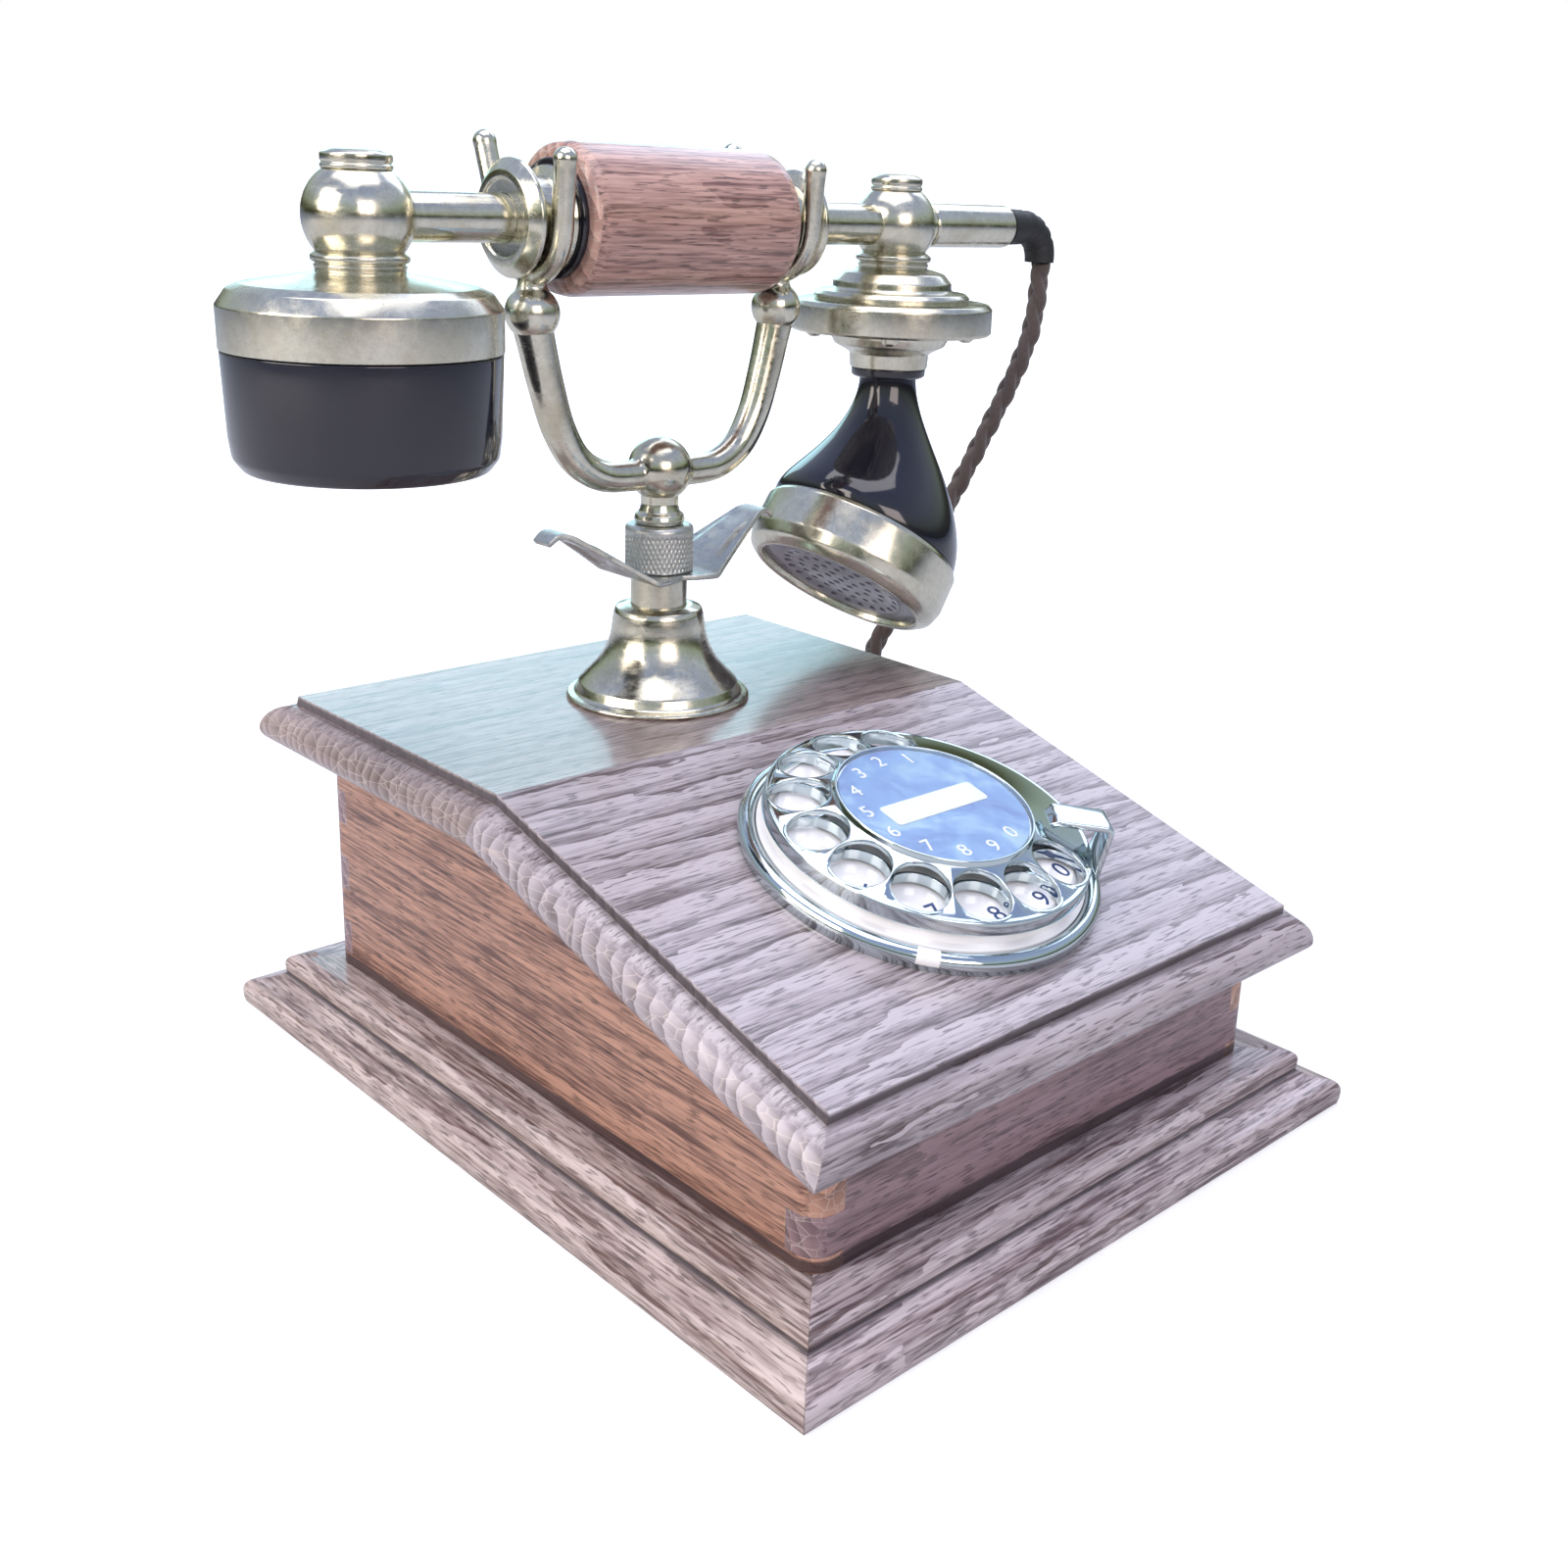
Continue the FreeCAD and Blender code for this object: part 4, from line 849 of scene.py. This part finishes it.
def cradle():
    ball_z, fork_z, fork_x = 142.8, 182.0, 37.5
    seat = 129.05
    outline = [
        (0, 49.5), (3.2, 49.5), (3.2, seat, 0), (5.9, seat, 0.3), (6.5, 130.3, 0.5), (6.1, 131.5, 0.5),
        (5.2, 132.2, 0.8), (4.7, 134.2, 1.5), (4.9, 137.0), (0, 137.0),
    ]
    stem = lathe("cradle_stem_neck", outline, nickel, "cradle", on_stand, 96)
    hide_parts("cradle_stem")
    solids = [ball_mesh((0, 0, ball_z), 8.2)]
    for side in (-1, 1):
        path = smooth_path([(0, 0, ball_z - 0.8), (side * 9, 0, ball_z - 1.0), (side * 18, 0, ball_z - 0.2),
                            (side * 25.5, 0, ball_z + 4.2), (side * 30.6, 0, ball_z + 12.2),
                            (side * 34.0, 0, ball_z + 22.5), (side * 36.2, 0, ball_z + 31.0),
                            (side * fork_x, 0, fork_z - 3.0)])
        swelling = [3.9 + 0.8 * max(0.0, k / (len(path) - 1) * 1.6 - 0.6) for k in range(len(path))]
        solids.append(tube_mesh(path, swelling, 32))
    yoke = cast("yoke_casting", merged(*solids), nickel, "cradle", on_stand)
    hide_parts("cradle_yoke")
    solids = []
    groove, prong_r, axis_z = 12.35, 2.6, handset_z / MM
    tips = {-1: (-13.6, 216.2), 1: (18.6, 219.4)}
    for side in (-1, 1):
        x = side * fork_x
        solids.append(ball_mesh((x, 0, fork_z), 6.4))
        solids.append(ball_mesh((x, 0, axis_z - groove), prong_r + 0.6))
        neck = [Vector((x, 0, z)) for z in (fork_z + 3, fork_z + 6.0, 190.4)]
        solids.append(tube_mesh(neck, [4.3, 3.5, 3.0], 32))
        for lean, (reach, height) in tips.items():
            tip = Vector((x, reach, height))
            span, rise = abs(reach), height - axis_z
            far = math.hypot(span, rise)
            leave = math.pi / 2 + math.atan2(rise, span) - math.acos(min(1.0, groove / far))
            bend = []
            for k in range(19):
                swung = leave * k / 18
                bend.append(Vector((x, lean * groove * math.sin(swung), axis_z - groove * math.cos(swung))))
            bend += [bend[-1].lerp(tip, k / 6) for k in range(1, 7)]
            solids.append(tube_mesh(bend, prong_r, 28))
            solids.append(ball_mesh(tip, prong_r + 0.15, 32))
    forks = cast("fork_castings", merged(*solids), nickel, "cradle", on_stand, 0.4, 5)
    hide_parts("cradle_forks")


# ---- handset

def handle():
    outline = [(0, -78), (5.4, -78, 0.2), (5.4, 92, 0.2), (0, 92)]
    tube = lathe("handle_tube_rod", outline, nickel_tube, "handset", along_handset, 64)
    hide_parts("handle_tube")
    outline = [
        (5.5, -31), (15.2, -31, 0.4), (16.9, -30.2, 1.2), (17.5, -27.6, 3.0), (17.5, 27.6, 3.0),
        (16.9, 30.2, 1.2), (15.2, 31, 0.4), (5.5, 31),
    ]
    grip = lathe("wooden_grip", outline, grip_wood, "handset", along_handset, 160)
    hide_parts("handle_grip")
    rings, spools = [], []
    for side in (-1, 1):
        washer = [(5.5, side * 31.0), (13.6, side * 31.0, 0.2), (13.6, side * 32.6, 0.5), (5.5, side * 32.6)]
        rings.append(lathe_mesh(washer, 96))
        spool = [(5.5, 32.65), (12.2, 32.65, 0.3), (11.7, 34.0, 0.2), (9.4, 34.7, 0.5), (9.4, 40.3, 0.5),
                 (12.0, 41.3, 0.3), (13.2, 42.3, 0.3), (13.2, 43.2, 0.4), (10.6, 45.3, 0.3), (8.9, 45.4, 0.2),
                 (8.6, 44.8, 0.2), (5.5, 44.8)]
        spools.append(lathe_mesh([(p[0], side * p[1], *p[2:]) for p in spool], 128))
    ends = piece("grip_end_washers", merged(*rings), black, "handset", along_handset)
    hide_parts("grip_end_rings")
    collars = piece("grooved_collars", merged(*spools), nickel_tube, "handset", along_handset)
    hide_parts("fork_collars")
    outline = [(0, 92), (5.6, 92, 0.2), (5.9, 92.8, 0.3), (5.9, 124.0, 0.4), (4.7, 125.7, 0.2), (0, 125.7)]
    tail = lathe("tail_sleeve", outline, nickel_tube, "handset", along_handset, 96)
    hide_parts("handset_tail")
    low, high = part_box("cord_grommet")
    exit_x, exit_z, bend_r = (high.x / MM) - 5.25, low.z / MM, 9.0
    start_x, axis_z = low.x / MM, handset_z / MM
    path = [Vector((start_x + (exit_x - bend_r - start_x) * k / 6, 0, axis_z)) for k in range(7)]
    for k in range(1, 15):
        turn = math.pi / 2 * k / 14
        spot = exit_x - bend_r + bend_r * math.sin(turn), 0, axis_z - bend_r + bend_r * math.cos(turn)
        path.append(Vector(spot))
    path.append(Vector((exit_x, 0, exit_z)))
    radii = [
        5.1 - 0.75 * k / (len(path) - 1) - (0.35 if 4 < k < 18 and k % 3 == 0 else 0.0)
        for k in range(len(path))
    ]
    grommet = piece("rubber_grommet", tube_mesh(path, radii, 40), rubber, "handset", on_stand)
    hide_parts("cord_grommet")


def knuckle_outline(radius, cap_r):
    """Half outline of the ball above its collar, in heights above the table."""
    axis_z = handset_z / MM
    low = -math.degrees(math.acos(min(1.0, 8.2 / radius)))
    high = math.degrees(math.acos((cap_r - 0.4) / radius))
    angles = [math.radians(low + (high - low) * k / 26) for k in range(27)]
    ball = [(radius * math.cos(angle), axis_z + radius * math.sin(angle), 0) for angle in angles]
    return ball, ball[-1][1]


def knuckles():
    caps, collars = [], []
    sizes = ("receiver", at_receiver, 11.8, 7.4, 191.5), ("transmitter", at_transmitter, 11.2, 6.9, 191.4)
    for name, place, radius, cap_r, base in sizes:
        ball, top = knuckle_outline(radius, cap_r)
        made = lathe(name + "_knuckle", [(0, ball[0][1])] + ball + [(0, top)], nickel, "handset", place, 96)
        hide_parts(name + "_ball")
        rim = top - 0.1
        outline = [
            (0, rim), (cap_r, rim, 0.2), (cap_r + 0.1, rim + 0.8, 0.2), (cap_r - 0.3, rim + 1.2, 0.2),
            (cap_r, rim + 1.7, 0.3), (cap_r, rim + 3.1, 0.6), (cap_r - 1.7, rim + 3.9, 0.6),
            (cap_r - 3.6, rim + 4.1, 0.8), (0, rim + 4.2),
        ]
        cap = lathe_mesh(outline, 96, 0.2)
        cap.transform(place)
        caps.append(cap)
        outline = [
            (0, base), (9.4, base, 0.2), (9.7, base + 1.4, 0.3), (9.2, base + 1.8, 0.2),
            (10.3, base + 2.3, 0.5), (10.3, base + 3.4, 0.6), (9.0, base + 4.4, 0.5), (0, base + 4.4),
        ]
        collar = lathe_mesh(outline, 96, 0.2)
        collar.transform(place)
        collars.append(collar)
    top_caps = piece("knuckle_caps", merged(*caps), nickel, "handset")
    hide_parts("ball_caps")
    rings = piece("knuckle_collars", merged(*collars), nickel_round, "handset")
    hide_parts("ball_collars")


def receiver():
    low, seam = 149.0, 175.2
    outline = [
        (0, 186.0), (27.0, 184.0), (27.0, seam + 0.1), (29.8, seam + 0.1, 0.15), (29.9, 184.4, 0.7),
        (27.6, 187.7, 0.8), (24.8, 188.9, 1.2), (11.0, 191.3, 0.6), (10.2, 191.6, 0.2), (0, 191.6),
    ]
    housing = lathe("receiver_shell", outline, nickel_round, "handset", at_receiver, 200)
    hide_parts("receiver_housing")
    outline = [
        (0, low + 5.0), (25.6, low + 5.0), (26.4, seam - 0.2), (29.6, seam - 0.2, 0.25),
        (28.9, low + 8.0, 8.0), (28.3, low + 3.4, 2.6), (26.2, low + 0.6, 2.2), (22.5, low, 1.2),
        (19.5, low + 0.6, 0.6), (15.0, low + 1.8, 1.0), (0, low + 1.8),
    ]
    cap = lathe("receiver_ear_cap", outline, black, "handset", at_receiver, 200)
    spots = [(8 * math.cos(TAU * k / 6), 8 * math.sin(TAU * k / 6)) for k in range(6)] + [(0, 0)]
    drilled(cap, hole_cutter(spots, 1.5, low - 1, low + 7, 24), at_receiver, 0.15)
    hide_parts("receiver_cap")


def transmitter():
    outline = [
        (0, 182.8), (21.3, 182.8, 0.2), (21.5, 184.3, 0.5), (20.4, 185.4, 0.5), (17.0, 185.7, 0.4),
        (16.4, 186.4, 0.3), (16.3, 188.0, 0.8), (14.2, 190.4, 1.4), (10.6, 191.4, 0.4), (0, 191.4),
    ]
    dome = lathe("stepped_dome", outline, nickel_round, "handset", at_transmitter, 160)
    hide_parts("transmitter_dome")
    outline = [
        (0, 174.5), (27.2, 174.5, 0.4), (28.0, 175.2, 0.4), (28.0, 181.6, 0.5), (26.9, 182.8, 0.5),
        (0, 182.8),
    ]
    disc = lathe_mesh(outline, 200, 0.3)
    feet = []
    for k in range(4):
        outline = [(0, 172.3), (1.3, 172.3, 0.5), (2.2, 173.0, 0.5), (2.4, 174.6), (0, 174.6)]
        foot = lathe_mesh(outline, 32, 0.2)
        angle = math.radians(45 + 90 * k)
        foot.transform(Matrix.Translation((21 * math.cos(angle), 21 * math.sin(angle), 0)))
        feet.append(foot)
    plate = piece("transmitter_plate", merged(disc, *feet), nickel_round, "handset", at_transmitter)
    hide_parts("transmitter_disc")
    outline = [
        (0, 164.8), (10.8, 164.8, 0.3), (11.1, 168.6, 0.4), (12.0, 169.3, 0.5), (15.4, 171.0, 1.5),
        (16.5, 173.2, 1.0), (16.5, 174.5), (0, 174.5),
    ]
    cup = lathe("transmitter_cup_shell", outline, nickel_round, "handset", at_transmitter, 128)
    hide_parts("transmitter_cup")
    outline = [(0, 162.2), (9.6, 162.2, 0.3), (10.3, 162.8, 0.3), (10.4, 164.7, 0.2), (0, 164.8)]
    ring = lathe("horn_neck_ring", outline, black, "handset", at_transmitter, 96)
    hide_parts("horn_ring")


MOUTH_TILT, MOUTH_ROLL = math.radians(35.5), math.radians(-3.0)
mouth_rim = Vector((72.8, -0.4, 117.8))
throat = Vector((transmitter_x / MM, 0, 162.2))
at_mouth = (
    on_stand @ Matrix.Translation(mouth_rim) @ Matrix.Rotation(MOUTH_ROLL, 4, "X")
    @ Matrix.Rotation(MOUTH_TILT, 4, "Y")
)


def horn():
    """Bell that widens from the throat and leans towards the mouth."""
    rows, sides, bm = 44, 128, bmesh.new()
    bend = Vector((throat.x, -0.2, 138.0))
    rings = []
    for i in range(rows + 1):
        share = i / rows
        lean = share ** 1.2
        turn = Matrix.Rotation(MOUTH_ROLL * lean, 3, "X") @ Matrix.Rotation(MOUTH_TILT * lean, 3, "Y")
        centre = throat * (1 - share) ** 2 + bend * (2 * share * (1 - share)) + mouth_rim * share ** 2
        radius = 7.9 + 20.2 * share ** 2 * (3 - 2 * share)
        rings.append([bm.verts.new(centre + turn @ Vector((radius * math.cos(TAU * k / sides),
                                                           radius * math.sin(TAU * k / sides), 0)))
                      for k in range(sides)])
    skin(bm, rings)
    bm.faces.new(rings[0])
    bm.faces.new(rings[-1][::-1])
    bell = piece("horn_bell", bm, black, "handset", on_stand)
    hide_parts("horn")
    outline = [
        (24.6, -0.7), (27.4, -0.1, 0.1), (28.4, -0.3, 0.5), (29.2, -1.5, 0.9), (29.4, -11.4, 3.0),
        (28.2, -15.2, 3.0), (25.6, -17.0, 1.2), (24.0, -16.8, 0.3), (23.6, -15.0, 0.2), (24.8, -13.6),
    ]
    bezel = lathe("mouth_bezel_ring", outline, nickel_round, "handset", at_mouth, 200)
    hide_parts("mouth_bezel")
    outline = [
        (0, -12.9), (24.6, -12.9), (24.6, -14.9, 0.2), (18.5, -15.3, 2.0), (14.5, -14.6, 2.0), (0, -14.6),
    ]
    grille = lathe("mouth_grille_disc", outline, grey_grille, "handset", at_mouth, 160)
    circles = ((0.01, 1), (4.2, 6), (8.4, 12), (12.6, 18), (16.8, 24))
    spots = [
        (r * math.cos(TAU * k / n + r), r * math.sin(TAU * k / n + r)) for r, n in circles for k in range(n)
    ]
    drilled(grille, hole_cutter(spots, 1.0, -16, -11, 20), at_mouth, 0)
    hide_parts("mouth_grille")


# ---- handset cord

CORD_D, STRAND_R, PLAIT_PITCH, CORD_STEP = 0.0075, 0.00185, 0.030, 0.0008
PLAIT_WIDE, PLAIT_DEEP = 0.0019, 0.00105
CORD_DROP = [
    (0.1430, 0.0498, 0.1930), (0.1430, 0.0498, 0.1770), (0.1395, 0.0530, 0.1610), (0.1320, 0.0570, 0.1430),
    (0.1230, 0.0605, 0.1240), (0.1125, 0.0645, 0.1040), (0.1045, 0.0700, 0.0820), (0.1020, 0.0785, 0.0600),
    (0.1020, 0.0880, 0.0380), (0.1010, 0.0980, 0.0200), (0.0975, 0.1075, 0.0105), (0.0900, 0.1150, 0.0058),
    (0.0790, 0.1195, 0.0039), (0.0640, 0.1205, 0.0039), (0.0460, 0.1190, 0.0039),
]
CORD_RETURN = [
    (0.0650, 0.1430, 0.0126), (0.0560, 0.1240, 0.0200), (0.0480, 0.1100, 0.0256), (0.0464, 0.0990, 0.0265),
]
COIL_TURNS = 2.75


def cord_points():
    """The route, with the coil's turns worked out: side by side on the table, and the last one on top."""
    low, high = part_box("handset_cord_coil")
    centre = (low + high) / 2
    points = [Vector(p) for p in CORD_DROP]
    count = 40
    for k in range(count + 1):
        share = k / count * COIL_TURNS
        angle = -math.pi / 2 - TAU * share
        radius = 0.045 - 0.008 * clamped((share - 0.6) / 0.6) + 0.004 * clamped((share - 1.6) / 0.5)
        height = 0.0039 + 0.0067 * clamped((share - 1.55) / 0.5)
        points.append(
            Vector((centre.x + radius * math.cos(angle), centre.y + radius * math.sin(angle), height))
        )
    return points + [Vector(p) for p in CORD_RETURN]


def handset_cord():
    points = cord_points()
    curve = bpy.data.curves.new("cord_route", "CURVE")
    curve.dimensions = "3D"
    curve.resolution_u = 24
    spline = curve.splines.new("NURBS")
    spline.points.add(len(points) - 1)
    for control, point in zip(spline.points, points):
        control.co = (*point, 1)
    spline.order_u = 3
    spline.use_endpoint_u = True
    holder = bpy.data.objects.new("cord_route", curve)
    mesh = bpy.data.meshes.new_from_object(holder)
    route = [v.co.copy() for v in mesh.vertices]
    bpy.data.meshes.remove(mesh)
    bpy.data.objects.remove(holder)
    run = [0.0]
    for a, b in zip(route, route[1:]):
        run.append(run[-1] + (b - a).length)
    even, at = [], 0
    for k in range(int(run[-1] / CORD_STEP) + 1):
        while run[at + 1] < k * CORD_STEP and at < len(run) - 2:
            at += 1
        share = (k * CORD_STEP - run[at]) / max(run[at + 1] - run[at], 1e-9)
        even.append(route[at].lerp(route[at + 1], min(share, 1.0)))
    strands = [[] for _ in range(3)]
    side = None
    for k, point in enumerate(even):
        ahead = (even[min(k + 1, len(even) - 1)] - even[max(k - 1, 0)]).normalized()
        side = ahead.orthogonal().normalized() if side is None else (
            side - ahead * side.dot(ahead)
        ).normalized()
        up = ahead.cross(side)
        for n, line in enumerate(strands):
            phase = TAU * (k * CORD_STEP / PLAIT_PITCH + n / 3)
            line.append(
                point + side * (PLAIT_WIDE * math.sin(phase)) + up * (PLAIT_DEEP * math.sin(2 * phase))
            )
    mesh = mesh_from("handset_cord", merged(*[tube_mesh(line, STRAND_R, 12, 14) for line in strands]))
    shade_smooth(mesh)
    made = linked("handset_cord", mesh)
    mesh.materials.append(cord_cloth)
    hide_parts("handset_cord_drop", "handset_cord_coil", "handset_cord_return")
    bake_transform(made)


# ---- build

dial_surround()
dial_wheel()
dial_centre()
dial_stop()
stand()
wing_plate()
cradle()
handle()
knuckles()
receiver()
transmitter()
horn()
handset_cord()


# ---- floor, light and camera

def floor():
    """Pale table that fades to plain white away from the telephone."""
    bm = bmesh.new()
    bmesh.ops.create_grid(bm, x_segments=1, y_segments=1, size=40)
    mesh = mesh_from("floor", bm)
    made = linked("floor", mesh)
    paint = Paint("floor_paint", Roughness=0.8, Base_Color=(0.50, 0.50, 0.51, 1), Emission_Color=(1, 1, 1, 1))
    away = paint.node("VectorMath", {0: paint.node("TexCoord").outputs["Object"]}, operation="LENGTH")
    glow = paint.steps(away.outputs["Value"], 0.25, 0.9, 0.50, 1.0)
    paint.set("Emission Strength", paint.times(glow, paint.camera_ray()))
    mesh.materials.append(paint.material)


def lamp(name, spot, size, power, colour):
    """Soft box that faces the middle of the telephone."""
    light = bpy.data.lights.new(name, "AREA")
    light.shape = "RECTANGLE"
    light.size, light.size_y = size
    light.energy = power
    light.color = colour
    made = linked(name, light)
    made.location = spot
    made.visible_camera = False
    made.rotation_euler = (Vector((0, 0, 0.1)) - Vector(spot)).to_track_quat("-Z", "Y").to_euler()


def lights():
    """Sky for reflections: dark at the horizon, pale above it, blue overhead, with soft boxes as clouds."""
    world = bpy.data.worlds.new("studio")
    bpy.context.scene.world = world
    world.use_nodes = True
    sky = Nodes(world.node_tree)
    background = world.node_tree.nodes["Background"]
    height = sky.node("SeparateXYZ", {0: sky.node("TexCoord").outputs["Generated"]}).outputs["Z"]
    stops = ((0.0, (0.03, 0.03, 0.02)), (0.10, (0.09, 0.10, 0.05)), (0.22, (0.40, 0.48, 0.40)),
             (0.45, (0.52, 0.60, 0.76)), (1.0, (0.32, 0.40, 0.72)))
    seen = sky.mix(sky.camera_ray(), sky.ramp(height, *stops), (1, 1, 1))
    sky.feed(background.inputs["Color"], seen)
    background.inputs["Strength"].default_value = 1.0
    lamp("low_sky", (1.046, 1.812, 0.68), (1.1, 0.75), 5.5, (0.50, 0.86, 1.0))
    lamp("high_sky", (1.457, 0.742, 1.472), (1.4, 1.1), 10, (0.74, 0.82, 1.0))
    lamp("left_window", (-1.8, 0.2, 1.0), (1.4, 1.2), 30, (1.0, 0.90, 0.82))
    lamp("overhead", (0.0, 0.1, 2.2), (2.0, 2.0), 34, (1.0, 0.96, 0.95))
    lamp("front_fill", (-0.5, -2.0, 0.9), (1.2, 0.9), 15, (1.0, 0.84, 0.80))


def camera():
    data = bpy.data.cameras.new("camera")
    data.sensor_width = 36.0
    data.lens = 39.56
    data.shift_x, data.shift_y = -0.0449, -0.0471
    data.clip_start = 0.01
    made = linked("camera", data)
    right, up = Vector((0.71806, -0.69470, 0.04228)), Vector((0.17728, 0.24131, 0.95412))
    turn = Matrix((right, up, right.cross(up))).transposed().to_4x4()
    spot = Matrix.Translation((-0.2680, -0.2934, 0.2156))
    made.matrix_world = spot @ turn
    bpy.context.scene.camera = made
    bpy.context.scene.view_settings.view_transform = "Standard"


floor()
lights()
camera()

bpy.context.view_layer.update()
